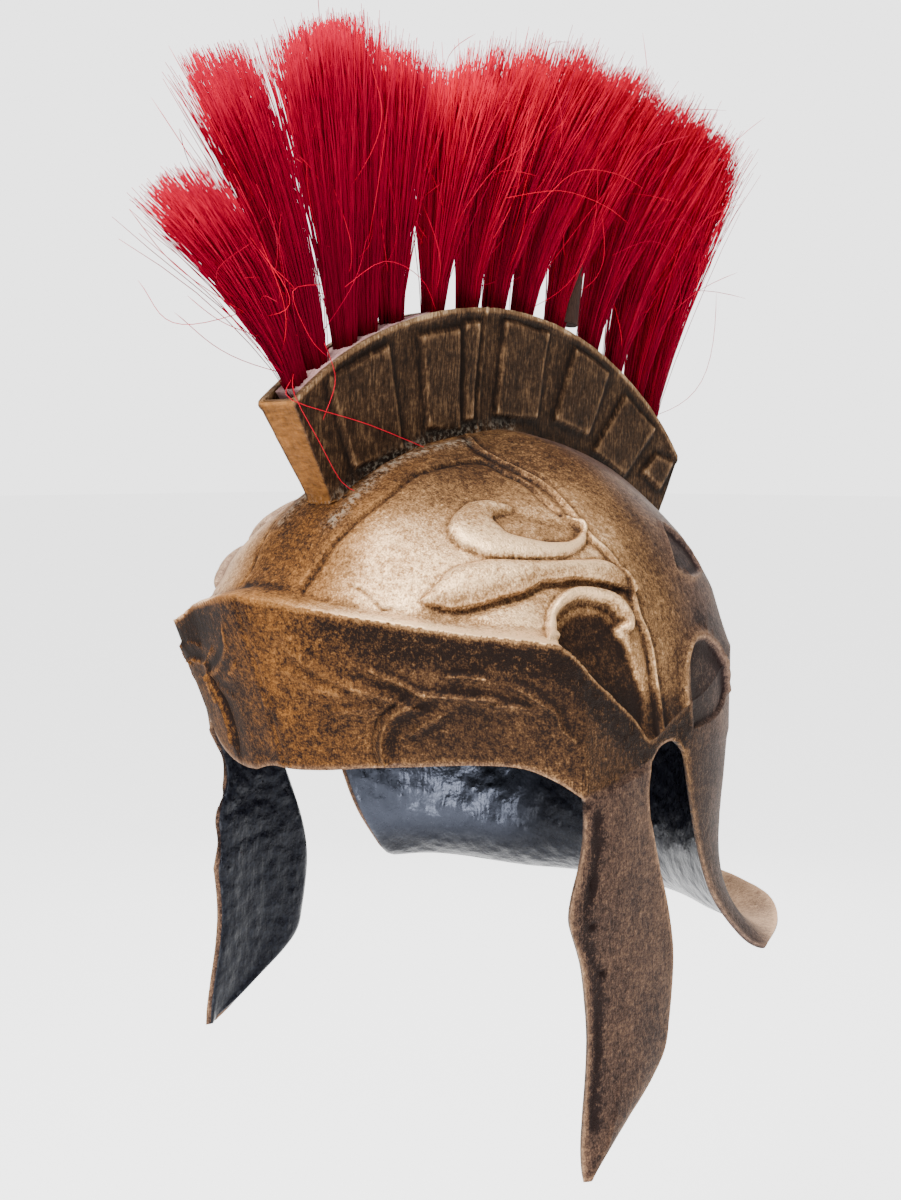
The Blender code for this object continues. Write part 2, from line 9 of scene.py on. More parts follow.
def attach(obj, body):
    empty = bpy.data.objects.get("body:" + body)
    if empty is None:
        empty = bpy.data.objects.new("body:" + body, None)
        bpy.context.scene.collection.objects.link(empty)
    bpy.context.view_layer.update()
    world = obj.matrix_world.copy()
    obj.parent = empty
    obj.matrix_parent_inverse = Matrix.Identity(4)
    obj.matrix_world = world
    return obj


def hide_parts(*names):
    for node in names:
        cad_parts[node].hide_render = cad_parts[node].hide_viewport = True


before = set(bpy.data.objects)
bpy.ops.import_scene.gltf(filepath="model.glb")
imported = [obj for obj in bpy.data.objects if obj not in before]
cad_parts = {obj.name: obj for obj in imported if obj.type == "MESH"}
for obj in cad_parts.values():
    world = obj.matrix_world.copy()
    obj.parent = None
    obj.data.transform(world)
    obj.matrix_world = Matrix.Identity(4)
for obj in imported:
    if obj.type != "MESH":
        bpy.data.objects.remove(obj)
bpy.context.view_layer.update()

# The photographer's camera: a little below the crown, ahead of the helmet and to its left,
# tipped down by five degrees. The picture is 901 by 1200, and the lens is set for its long side.
CAMERA_PLACE = (0.3805, -0.4285, -0.0130)
CAMERA_TIP = 5.115
CAMERA_TURN = 43.0
lens = bpy.data.cameras.new("camera")
lens.lens = 43.57
lens.sensor_width = 36.0
camera = bpy.data.objects.new("camera", lens)
camera.location = CAMERA_PLACE
camera.rotation_euler = (math.radians(90.0 - CAMERA_TIP), 0.0, math.radians(CAMERA_TURN))
bpy.context.scene.collection.objects.link(camera)
bpy.context.scene.camera = camera

# A white studio: a pale floor well below the helmet, a surround that is bright behind it and
# dimmer on the photographer's side, a soft light high in front, weaker ones at its side and
# behind it, and one low in front that glints on a patch of the inner face given a painted reflection.


class Wire:
    """A value in a finish, which can be added, multiplied and so on like a number."""

    def __init__(self, finish, socket):
        self.finish = finish
        self.socket = socket

    def maths(self, operation, *parts):
        return self.finish.node("ShaderNodeMath", {"operation": operation}, dict(enumerate(parts)))

    def __add__(self, other):
        return self.maths('ADD', self, other)

    def __radd__(self, other):
        return self.maths('ADD', other, self)

    def __sub__(self, other):
        return self.maths('SUBTRACT', self, other)

    def __rsub__(self, other):
        return self.maths('SUBTRACT', other, self)

    def __mul__(self, other):
        return self.maths('MULTIPLY', self, other)

    def __rmul__(self, other):
        return self.maths('MULTIPLY', other, self)

    def limit(self, low=0.0, high=1.0):
        return self.maths('MINIMUM', self.maths('MAXIMUM', self, low), high)

    def ease(self, start, end):
        """0 below start, 1 above end and a soft step between them."""
        return self.finish.node("ShaderNodeMapRange", {"interpolation_type": 'SMOOTHSTEP'},
                                {"Value": self, "From Min": start, "From Max": end})


class Finish:
    """A material, or the surround, whose nodes are made one by one."""

    def __init__(self, owner):
        owner.use_nodes = True
        self.material = owner
        self.tree = owner.node_tree

    def node(self, kind, settings, sockets, output=0):
        made = self.tree.nodes.new(kind)
        for setting, value in settings.items():
            setattr(made, setting, value)
        for key, value in sockets.items():
            self.put(made.inputs[key], value)
        return Wire(self, made.outputs[output])

    def put(self, socket, value):
        if isinstance(value, Wire):
            self.tree.links.new(value.socket, socket)
        elif socket.type == 'RGBA':
            socket.default_value = (*value, 1.0)
        else:
            socket.default_value = value

    def give(self, shader_name, **sockets):
        """Set the shader's own sockets; an underscore stands for a space in a name."""
        shader = self.tree.nodes[shader_name]
        for key, value in sockets.items():
            self.put(shader.inputs[key.replace("_", " ")], value)

    def stored(self, name):
        return self.node("ShaderNodeAttribute", {"attribute_name": name}, {}, "Fac")

    def spots(self, stretch=(1.0, 1.0, 1.0)):
        """Places in the piece, pulled out along its axes."""
        here = self.node("ShaderNodeTexCoord", {}, {}, "Object")
        return self.node("ShaderNodeVectorMath", {"operation": 'MULTIPLY'}, {0: here, 1: stretch})

    def noise(self, scale, detail=3.0, roughness=0.55, stretch=(1.0, 1.0, 1.0)):
        return self.node("ShaderNodeTexNoise", {}, {"Vector": self.spots(stretch), "Scale": scale,
                                                    "Detail": detail, "Roughness": roughness})

    def cells(self, scale, feature='F1'):
        return self.node("ShaderNodeTexVoronoi", {"feature": feature},
                         {"Vector": self.spots(), "Scale": scale})

    def mix(self, share, first, second, blend='MIX'):
        return self.node("ShaderNodeMix", {"data_type": 'RGBA', "blend_type": blend},
                         {0: share, 6: first, 7: second}, 2)

    def bump(self, height, depth, strength=1.0):
        return self.node("ShaderNodeBump", {}, {"Height": height, "Distance": depth,
                                                "Strength": strength})


FLOOR_HEIGHT = -0.60
FLOOR_SIZE = 60.0
FLOOR_GLOW = 2.2
FLOOR_GLOW_SPAN = (-0.55, 0.55)  # the glow grows over this way behind the helmet, in metres
SURROUND_BEHIND = 3.0
SURROUND_BEFORE = 0.46
bpy.ops.mesh.primitive_plane_add(size=FLOOR_SIZE, location=(0.0, 0.0, FLOOR_HEIGHT))
floor = bpy.context.active_object
floor.name = "floor"
floor_finish = Finish(bpy.data.materials.new("floor"))
view_way = (-math.sin(math.radians(CAMERA_TURN)), math.cos(math.radians(CAMERA_TURN)), 0.0)
floor_way = floor_finish.node("ShaderNodeVectorMath", {"operation": 'DOT_PRODUCT'},
                              {0: floor_finish.spots(), 1: view_way}, "Value").ease(*FLOOR_GLOW_SPAN)
floor_finish.give("Principled BSDF", Base_Color=(0.92, 0.92, 0.92), Roughness=1.0, IOR=1.0,
                  Emission_Color=floor_finish.mix(floor_way, (0.1, 0.1, 0.1), (1.0, 1.0, 1.0)),
                  Emission_Strength=FLOOR_GLOW)
floor.data.materials.append(floor_finish.material)

surround = Finish(bpy.data.worlds.new("surround"))
sky_way = surround.node("ShaderNodeTexCoord", {}, {}, "Generated")
behind = surround.node("ShaderNodeVectorMath", {"operation": 'DOT_PRODUCT'},
                       {0: sky_way, 1: view_way}, "Value").ease(0.72, 0.90)
surround.give("Background", Color=(1.0, 1.0, 1.0),
              Strength=SURROUND_BEFORE + behind * (SURROUND_BEHIND - SURROUND_BEFORE))
bpy.context.scene.world = surround.material

LAMPS = (  # name, place, aimed at, width, power
    ("key_light", (0.10, -0.85, 1.25), (0.0, 0.0, -0.02), 0.60, 70.0),
    ("side_light", (1.35, -0.15, 0.05), (0.0, 0.0, -0.12), 0.35, 9.0),
    ("back_light", (-0.9, 1.2, 0.3), (0.0, 0.0, -0.05), 1.0, 8.0),
    ("low_light", (0.50, -0.54, -0.44), (-0.07, 0.05, -0.16), 0.34, 4.0),
)
for lamp_name, lamp_place, lamp_aim, lamp_width, lamp_power in LAMPS:
    lamp = bpy.data.lights.new(lamp_name, 'AREA')
    lamp.size = lamp_width
    lamp.energy = lamp_power
    holder = bpy.data.objects.new(lamp_name, lamp)
    holder.location = lamp_place
    holder.rotation_euler = (Vector(lamp_aim) - Vector(lamp_place)).to_track_quat('-Z', 'Y').to_euler()
    bpy.context.scene.collection.objects.link(holder)

# The shell: skull, brow guard, ear arches, cheek guards, back and neck guard, cast in one
# wall of resin in a two-sided mould, with scroll relief outside and a blistered inner face.
# Its surface is the construction's own, so the same sizes are repeated here.
MM = 0.001
WALL = 0.003
SKULL_RISE = 0.104
WIDEST_LINE = WALL - SKULL_RISE
LEFT, RIGHT = 1, -1
SECTION_HEIGHTS = (0.1040, 0.1020, 0.0960, 0.0880, 0.0780, 0.0660, 0.0540, 0.0400, 0.0200, 0.0)
SKULL_SECTIONS = (  # azimuth, plan radius at each height
    (0.0, (0.0, 0.0200, 0.0480, 0.0680, 0.0850, 0.0985, 0.1060, 0.1105, 0.1132, 0.1140)),
    (47.0, (0.0, 0.0135, 0.0290, 0.0450, 0.0640, 0.0830, 0.0958, 0.1030, 0.1055, 0.1055)),
    (90.0, (0.0, 0.0185, 0.0360, 0.0505, 0.0630, 0.0738, 0.0817, 0.0884, 0.0938, 0.0955)),
    (133.0, (0.0, 0.0165, 0.0325, 0.0480, 0.0615, 0.0738, 0.0827, 0.0898, 0.0948, 0.0960)),
    (180.0, (0.0, 0.0200, 0.0470, 0.0640, 0.0765, 0.0855, 0.0915, 0.0960, 0.0985, 0.0990)),
)
RIDGE_LINE = (  # half_width, forward, height
    (0.0000, 0.1310, 0.0480),
    (0.0360, 0.1110, 0.0413),
    (0.0670, 0.0930, 0.0367),
    (0.0920, 0.0785, 0.0340),
    (0.0975, 0.0700, 0.0310),
    (0.0980, 0.0550, 0.0195),
    (0.0980, 0.0350, 0.0050),
    (0.0980, 0.0255, -0.0035),
    (0.0965, 0.0100, 0.0020),
    (0.0955, -0.0020, 0.0060),
)
BROW_EDGE_LINE = (  # half_width, forward, height
    (0.0000, 0.1073, -0.0160),
    (0.0340, 0.0920, -0.0120),
    (0.0730, 0.0750, -0.0085),
    (0.0880, 0.0675, -0.0115),
    (0.0975, 0.0620, -0.0180),
)
EAR_ARCH_LINE = (  # half_width, forward, height
    (0.0980, 0.0250, -0.0110),
    (0.0970, 0.0190, -0.0070),
    (0.0962, 0.0120, -0.0060),
    (0.0956, 0.0050, -0.0075),
    (0.0955, 0.0010, -0.0115),
)
LEDGE_DROP_FRONT = 0.015
LEDGE_DROP_EAR = 0.009
LEDGE_FADE_START = 50.0
LEDGE_FADE_SPAN = 25.0
LEDGE_HOLLOW = 0.15
RIGHT_CORNER_SAG = 0.006
RIGHT_CORNER_SPREAD = 0.004
RIGHT_CORNER_SPANS = ((33.0, 15.0), (56.0, 18.0))  # azimuth and span: growing, then fading
RIGHT_EDGE_SAG = 0.009
RIGHT_CHEEK_TRIM = 0.009
CHEEK_TRIM_TOP = -0.020
CHEEK_TRIM_SPAN = 0.058
CHEEK_LINES = (  # front_forward, front_height, rear_forward, rear_height, half_width
    (0.0620, -0.0180, 0.0250, -0.0110, 0.0980),
    (0.0615, -0.0300, 0.0262, -0.0240, 0.0980),
    (0.0635, -0.0400, 0.0230, -0.0370, 0.0978),
    (0.0670, -0.0490, 0.0180, -0.0500, 0.0976),
    (0.0685, -0.0570, 0.0135, -0.0620, 0.0975),
    (0.0655, -0.0650, 0.0105, -0.0740, 0.0975),
    (0.0620, -0.0740, 0.0098, -0.0840, 0.0976),
    (0.0600, -0.0860, 0.0108, -0.0940, 0.0978),
    (0.0590, -0.0980, 0.0125, -0.1040, 0.0981),
    (0.0600, -0.1110, 0.0150, -0.1140, 0.0985),
    (0.0620, -0.1230, 0.0230, -0.1220, 0.0990),
    (0.0635, -0.1330, 0.0370, -0.1310, 0.0995),
    (0.0640, -0.1400, 0.0500, -0.1395, 0.1000),
    (0.0642, -0.1450, 0.0590, -0.1445, 0.1002),
)
CHEEK_CROWNING = 0.0020
BACK_LINES = (  # edge_half_width, edge_forward, edge_height, middle_back, middle_height
    (0.0955, 0.0010, -0.0115, 0.0985, -0.0115),
    (0.0955, -0.0030, -0.0270, 0.0960, -0.0270),
    (0.0952, -0.0075, -0.0410, 0.0920, -0.0430),
    (0.0950, -0.0130, -0.0550, 0.0882, -0.0580),
    (0.0952, -0.0195, -0.0670, 0.0870, -0.0710),
    (0.0962, -0.0260, -0.0755, 0.0905, -0.0830),
    (0.0975, -0.0320, -0.0820, 0.0985, -0.0920),
    (0.0990, -0.0370, -0.0870, 0.1085, -0.0965),
    (0.1005, -0.0415, -0.0900, 0.1180, -0.0960),
    (0.1020, -0.0460, -0.0915, 0.1280, -0.0915),
)
BACK_EASE = 1.6
BACK_RIDGE_HEIGHT = 0.020
BACK_SHOULDER_HEIGHT = 0.042
BACK_BLEND = 35.0
FRONT_ROUNDING = 4.5  # degrees over which the brow guard's middle is rounded
SAG_START = 12.0  # degrees from the middle over which the right edge's sag begins
BROW_STEPS = 66
CHEEK_STEPS = 22
ARCH_STEPS = 10
BACK_STEPS = 44
DOME_STEPS = 64
LEDGE_STEPS = 12
FACE_STEPS = 26
CHEEK_ROWS = 84
BACK_ROWS = 40


def smooth_step(value):
    """Ease from 0 to 1 with level ends."""
    value = np.clip(value, 0.0, 1.0)
    return value * value * (3.0 - 2.0 * value)


def grows(value, start, span):
    """Ease from 0 at start to 1 over a span."""
    return smooth_step((value - start) / span)


def fades(value, end, span):
    """Ease from 1 down to 0 at end, over a span."""
    return smooth_step((end - value) / span)


def between(start, end, share):
    """Mix two numbers, or two lists of them."""
    return start + (end - start) * share


def smooth_line(points, steps, closed=False):
    """A rounded line through points, with steps places for each span."""
    points = [np.array(point, float) for point in points]
    if closed:
        rows = [points[-1]] + points + points[:2]
    else:
        rows = [points[0]] + points + [points[-1]]
    line = []
    for a, b, c, d in zip(rows, rows[1:], rows[2:], rows[3:]):
        for t in np.arange(steps) / steps:
            line.append(0.5 * (2 * b + (c - a) * t + (2 * a - 5 * b + 4 * c - d) * t * t
                               + (3 * b - a - 3 * c + d) * t ** 3))
    if not closed:
        line.append(points[-1])
    return np.array(line)


def spline(values, spacing, at):
    """A smooth curve through values at the places in spacing, read at many places."""
    at = np.asarray(at, float)
    values = np.stack([np.broadcast_to(value, at.shape) for value in values])
    spacing = np.asarray(spacing)
    last = len(spacing) - 1
    span = np.clip(np.searchsorted(spacing, at) - 1, 0, last - 1)
    width = spacing[span + 1] - spacing[span]
    t = np.clip((at - spacing[span]) / width, 0.0, 1.0)

    def read(node):
        return np.take_along_axis(values, node[None], 0)[0]

    def slope(node):
        before, after = np.maximum(node - 1, 0), np.minimum(node + 1, last)
        return (read(after) - read(before)) / (spacing[after] - spacing[before]) * width

    return ((2 * t ** 3 - 3 * t * t + 1) * read(span) + (t ** 3 - 2 * t * t + t) * slope(span)
            + (3 * t * t - 2 * t ** 3) * read(span + 1) + (t ** 3 - t * t) * slope(span + 1))


def place(azimuth, radius, height):
    """Points at azimuths in degrees, plan radii and heights."""
    turn, radius, height = np.broadcast_arrays(np.radians(azimuth), radius, height)
    return np.stack([radius * np.sin(turn), -radius * np.cos(turn), height + WIDEST_LINE], -1)


def azimuth_of(half_width, forward):
    """The azimuth of places in plan."""
    return np.degrees(np.arctan2(half_width, forward))


def at_azimuth(line, azimuth):
    """Radius and height where a line of half_width, forward, height crosses azimuths."""
    turns = azimuth_of(line[:, 0], line[:, 1])
    side, ahead, height = [np.interp(azimuth, turns, line[:, part]) for part in range(3)]
    return np.hypot(side, ahead), height


def down_share(height):
    """How far down the dome a height is, so that radius grows evenly from the crown."""
    return np.sqrt(np.maximum(0.0, 1.0 - np.asarray(height) / SKULL_RISE))


def skull_radius(azimuth, height=0.0):
    """Plan radius of the skull's outer face at a height."""
    azimuth, height = np.broadcast_arrays(np.asarray(azimuth, float), np.maximum(height, 0.0))
    rows = (SKULL_SECTIONS[1],) + SKULL_SECTIONS + (SKULL_SECTIONS[3],)
    places = down_share(np.array(SECTION_HEIGHTS))
    radii = [spline(row[1], places, down_share(height)) for row in rows]
    turns = [-47.0] + [row[0] for row in SKULL_SECTIONS] + [227.0]
    return spline(radii, turns, azimuth)


RIDGE = smooth_line(RIDGE_LINE, 10)
BROW_EDGE = smooth_line(BROW_EDGE_LINE, 10)
EAR_ARCH = smooth_line(EAR_ARCH_LINE, 8)
CHEEK_ROOT = np.array(((0.0980, 0.0620, -0.0180), (0.0980, 0.0250, -0.0110)))
BROW_END = float(azimuth_of(*BROW_EDGE_LINE[-1][:2]))
CHEEK_END = float(azimuth_of(*EAR_ARCH_LINE[0][:2]))
ARCH_END = float(azimuth_of(*EAR_ARCH_LINE[-1][:2]))
RIDGE_END = float(azimuth_of(*RIDGE_LINE[-1][:2]))


def ridge_at(azimuth, side):
    """Radius and height of the brow ridge, carried on round the back as a plain line."""
    azimuth = np.hypot(azimuth, FRONT_ROUNDING)
    radius, height = at_azimuth(RIDGE, np.minimum(azimuth, RIDGE_END))
    share = grows(azimuth, RIDGE_END, BACK_BLEND)
    behind = azimuth > RIDGE_END
    added = (radius - skull_radius(RIDGE_END)) * (1.0 - share)
    radius = np.where(behind, skull_radius(azimuth) + added, radius)
    height = np.where(behind, between(height, BACK_RIDGE_HEIGHT, share), height)
    if side == RIGHT:
        growing, fading = [grows(azimuth, *span) for span in RIGHT_CORNER_SPANS]
        sag = growing * (1.0 - fading)
        radius = radius + RIGHT_CORNER_SPREAD * sag
        height = height - RIGHT_CORNER_SAG * sag
    return radius, height


def edge_at(azimuth, side):
    """Radius and height of the line where the brow, cheek guard, ear and back begin."""
    drawn_in = FRONT_ROUNDING * azimuth / BROW_END
    eased = np.maximum(np.hypot(azimuth, FRONT_ROUNDING) - drawn_in, azimuth)
    radius, height = at_azimuth(BROW_EDGE, np.minimum(eased, BROW_END))
    if side == RIGHT:
        sag = np.sin(np.pi * np.minimum(azimuth, BROW_END) / BROW_END) * grows(azimuth, 0.0, SAG_START)
        radius = radius + RIGHT_CORNER_SPREAD * sag
        height = height - RIGHT_EDGE_SAG * sag
    root_radius, root_height = at_azimuth(CHEEK_ROOT, azimuth)
    arch_radius, arch_height = at_azimuth(EAR_ARCH, np.minimum(azimuth, ARCH_END))
    share = grows(azimuth, ARCH_END, BACK_BLEND)
    behind = skull_radius(azimuth) + (arch_radius - skull_radius(ARCH_END)) * (1.0 - share)
    radius = np.where(azimuth > BROW_END, root_radius, radius)
    height = np.where(azimuth > BROW_END, root_height, height)
    radius = np.where(azimuth > CHEEK_END, arch_radius, radius)
    height = np.where(azimuth > CHEEK_END, arch_height, height)
    radius = np.where(azimuth > ARCH_END, behind, radius)
    return radius, height


def dome_rows(azimuth, side):
    """The outer face from crown to lower edge, a row of places at a time."""
    ridge_radius, ridge_height = ridge_at(azimuth, side)
    edge_radius, edge_height = edge_at(azimuth, side)
    front_share = 1.0 - grows(azimuth, LEDGE_FADE_START, LEDGE_FADE_SPAN)
    shoulder = ridge_height + between(LEDGE_DROP_EAR, LEDGE_DROP_FRONT, front_share)
    back_share = grows(azimuth, ARCH_END, BACK_BLEND)
    shoulder = between(shoulder, BACK_SHOULDER_HEIGHT, back_share)
    lowest_turn = np.arcsin(shoulder / SKULL_RISE)
    rows = []
    for step in range(DOME_STEPS + 1):
        height = SKULL_RISE * np.sin(between(np.pi / 2.0, lowest_turn, step / DOME_STEPS))
        rows.append(place(azimuth, skull_radius(azimuth, height), height))
    start = rows[-1]
    end = place(azimuth, ridge_radius, ridge_height)
    corner_height = between(ridge_height, shoulder, LEDGE_HOLLOW)
    corner = place(azimuth, skull_radius(azimuth, corner_height), corner_height)
    for step in range(1, LEDGE_STEPS + 1):
        t = step / LEDGE_STEPS
        rows.append(start * (1 - t) ** 2 + corner * 2 * t * (1 - t) + end * t * t)
    edge = place(azimuth, edge_radius, edge_height)
    for step in range(1, FACE_STEPS + 1):
        rows.append(between(end, edge, step / FACE_STEPS))
    return np.array(rows)


def cheek_rows(root_row, side):
    """The cheek guard's rows from its root down to its tip."""
    lines = smooth_line(CHEEK_LINES, 12)
    reach = np.linspace(0.0, len(lines) - 1.0, CHEEK_ROWS + 1)
    rows = [root_row]
    for here in reach[1:]:
        front, front_height, rear, rear_height, width = [
            np.interp(here, np.arange(len(lines)), lines[:, part]) for part in range(5)]
        share = np.linspace(0.0, 1.0, CHEEK_STEPS + 1)
        ahead, height = between(front, rear, share), between(front_height, rear_height, share)
        if side == RIGHT:
            draw = np.sin(np.pi * np.clip((CHEEK_TRIM_TOP - front_height) / CHEEK_TRIM_SPAN, 0.0, 1.0))
            ahead = ahead - RIGHT_CHEEK_TRIM * draw * (1.0 - share)
        bulge = CHEEK_CROWNING * np.sin(np.pi * share)
        rows.append(np.stack([width + bulge, -ahead, height + WIDEST_LINE], -1))
    return np.array(rows)


def back_rows(root_row):
    """The rows of the back and the neck guard, from the ear line down to the rim."""
    lines = smooth_line(BACK_LINES, 12)
    reach = np.linspace(0.0, len(lines) - 1.0, BACK_ROWS + 1)
    rows = [root_row]
    for here in reach[1:]:
        width, ahead, height, middle_back, middle_height = [
            np.interp(here, np.arange(len(lines)), lines[:, part]) for part in range(5)]
        start = azimuth_of(width, ahead)
        edge_added = np.hypot(width, ahead) - skull_radius(start)
        middle_added = middle_back - skull_radius(180.0)
        share = np.linspace(0.0, 1.0, BACK_STEPS + 1)
        azimuth = between(start, 180.0, share)
        ease = smooth_step(share * BACK_EASE)
        added = between(edge_added, middle_added, ease)
        rows.append(place(azimuth, skull_radius(azimuth) + added,
                          between(height, middle_height, ease)))
    return np.array(rows)


def select_only(*pieces):
    """Select some pieces alone, with the first of them active."""
    bpy.ops.object.select_all(action='DESELECT')
    for piece in pieces:
        piece.select_set(True)
    bpy.context.view_layer.objects.active = pieces[0]


def read_numbers(things, name, kind=float, each=1):
    """A stored value of every corner, edge or face, in rows where each has more than one."""
    numbers = np.empty(len(things) * each, kind)
    things.foreach_get(name, numbers)
    return numbers.reshape(-1, each) if each > 1 else numbers


def grid_sheet(name, rows, side):
    """A grid primitive whose corners are put on rows of places, facing outward."""
    down, across = rows.shape[:2]
    bpy.ops.object.select_all(action='DESELECT')
    bpy.ops.mesh.primitive_grid_add(x_subdivisions=across - 1, y_subdivisions=down - 1, size=2.0)
    sheet = bpy.context.active_object
    sheet.name = name
    flat = read_numbers(sheet.data.vertices, "co", each=3)
    column = np.rint((flat[:, 0] + 1.0) / 2.0 * (across - 1)).astype(int)
    row = np.rint((flat[:, 1] + 1.0) / 2.0 * (down - 1)).astype(int)
    if side == LEFT:
        row = down - 1 - row
    spots = rows[row, column] * np.array((side, 1.0, 1.0))
    sheet.data.vertices.foreach_set("co", spots.ravel())
    sheet.data.update()
    return sheet


def join_sheets(sheets, name):
    """Join sheets that share their edges into one mesh."""
    select_only(*sheets)
    bpy.ops.object.join()
    whole = bpy.context.active_object
    whole.name = name
    bpy.ops.object.mode_set(mode='EDIT')
    bpy.ops.mesh.select_all(action='SELECT')
    bpy.ops.mesh.remove_doubles(threshold=0.00001)
    bpy.ops.object.mode_set(mode='OBJECT')
    return whole


def add_modifier(piece, kind, **settings):
    """Add a modifier to a piece and apply it."""
    select_only(piece)
    bpy.ops.object.modifier_add(type=kind)
    change = piece.modifiers[-1]
    for setting, value in settings.items():
        setattr(change, setting, value)
    bpy.ops.object.modifier_apply(modifier=change.name)


def places_and_normals(piece):
    """The places of a piece's corners, and its outward directions there."""
    return (read_numbers(piece.data.vertices, "co", each=3),
            read_numbers(piece.data.vertex_normals, "vector", each=3))


def push_out(piece, places, normals, rise):
    """Move corners, and the places given, outward by a rise in mm, and shade with sharp creases."""
    places += normals * (rise * MM)[:, None]
    piece.data.vertices.foreach_set("co", places.ravel())
    piece.data.update()
    select_only(piece)
    bpy.ops.object.shade_smooth_by_angle(angle=math.radians(CREASE_ANGLE))


def put_attributes(piece, **attributes):
    """Store numbers for each corner, by name, for the finish to read."""
    for name, values in attributes.items():
        attribute = piece.data.attributes.new(name, 'FLOAT', 'POINT')
        attribute.data.foreach_set("value", np.asarray(values, np.float32))


def even_steps(start, end, steps):
    """Steps from start up to, not including, end."""
    return [start + (end - start) * step / steps for step in range(steps)]


shell_azimuths = np.array(even_steps(0.0, BROW_END, BROW_STEPS)
                          + even_steps(BROW_END, CHEEK_END, CHEEK_STEPS)
                          + even_steps(CHEEK_END, ARCH_END, ARCH_STEPS)
                          + even_steps(ARCH_END, 180.0, BACK_STEPS) + [180.0])
cheek_start = BROW_STEPS
back_start = BROW_STEPS + CHEEK_STEPS + ARCH_STEPS
shell_sheets = []
for side, side_name in ((LEFT, "left"), (RIGHT, "right")):
    rows = dome_rows(shell_azimuths, side)
    shell_sheets.append(grid_sheet("dome_" + side_name, rows, side))
    cheek = cheek_rows(rows[-1][cheek_start:cheek_start + CHEEK_STEPS + 1], side)
    shell_sheets.append(grid_sheet("cheek_" + side_name, cheek, side))
    shell_sheets.append(grid_sheet("back_" + side_name, back_rows(rows[-1][back_start:]), side))
shell = join_sheets(shell_sheets, "helmet_shell_cast")
ORNAMENT = {  # lines on the slanted card, in mm: across and up
    "ribbon_out": ((-13, 22), (-17, 24), (-21, 26), (-28, 25), (-33, 21), (-37, 16), (-39, 12),
                   (-39, 8), (-37, 4), (-33, 1), (-29, -2), (-24, -3), (-16, -4), (-8, -4),
                   (-3, -3), (3, 0), (9, 5), (11, 10), (11, 14), (8, 17), (4, 18)),
    "ribbon_in": ((7, 16), (9, 12), (7, 8), (3, 5), (-2, 4), (-8, 4), (-15, 6), (-19, 8),
                  (-21, 12), (-22, 15), (-21, 18), (-17, 20), (-13, 22)),
    "leaf": ((-53, -15), (-49, -12), (-45, -8), (-40, -5), (-34, -4), (-27, -3.4), (-17, -4.4),
             (-8, -4.4), (3, -3.4), (13, -2), (21, -4), (24, -8), (25, -12), (16, -11), (8, -11),
             (1, -11), (-5, -12), (-12, -13), (-18, -16), (-22, -17), (-27, -18), (-31, -19),
             (-36, -20), (-43, -20), (-48, -18), (-52, -17)),
    "leaf_foot": ((18, -12.4), (8, -12.2), (1, -12.2), (-5, -13.2), (-12, -14.5), (-18, -17.2),
                  (-27, -19.4), (-36, -21.2), (-43, -21.2), (-49, -19.4)),
    "shoe_out": ((-18, -39), (-14, -28), (-11, -22), (-6, -17), (0, -14), (7, -13), (15, -14),
                 (20, -18), (22, -22), (21, -26)),
    "shoe_in": ((17, -26), (18.5, -23), (16, -19.5), (12, -17.5), (6, -17), (0, -17.5), (-5, -20),
                (-9, -24), (-11, -30), (-12, -36)),
    "shoe_floor": ((-12, -36), (-11, -30), (-9, -24), (-5, -20), (0, -17.5), (6, -17), (12, -17.5),
                   (16, -19.5), (18.5, -23), (17, -26), (14, -29), (10, -34), (0, -37), (-6, -37)),
    "field": ((-16, -41), (-12, -34), (-8, -26), (0, -21), (8, -20), (15, -23), (16, -27),
              (19, -30), (22, -36), (26, -45), (24, -56), (10, -58), (-1, -53), (-10, -48)),
    "groove": ((-87, 0), (-80, 9), (-74, 16), (-63, 25), (-53, 33), (-43, 42), (-32, 47),
               (-21, 51), (-13, 51), (-9, 45), (-3, 36), (0, 26), (4, 19)),
    "seam": ((-14, 69), (-13, 61), (-7, 52), (-1, 43), (5, 33), (9, 20), (12, 9), (17, 3),
             (21, -4), (24, -10), (25, -19), (28, -25), (30, -32), (31, -39), (33, -50), (33, -60)),
    "foot": ((-75, 24), (-69, 30), (-60, 40), (-50, 50), (-40, 56), (-27, 62), (-17, 66)),
    "crack": ((-73, -3), (-69, -7), (-67, -11), (-65, -15), (-62, -16)),
}
FIELD_STREAKS = (((-3, -34), (1, -50)), ((5, -30), (8, -53)), ((11, -33), (15, -50)),
                 ((17, -36), (20, -52)))
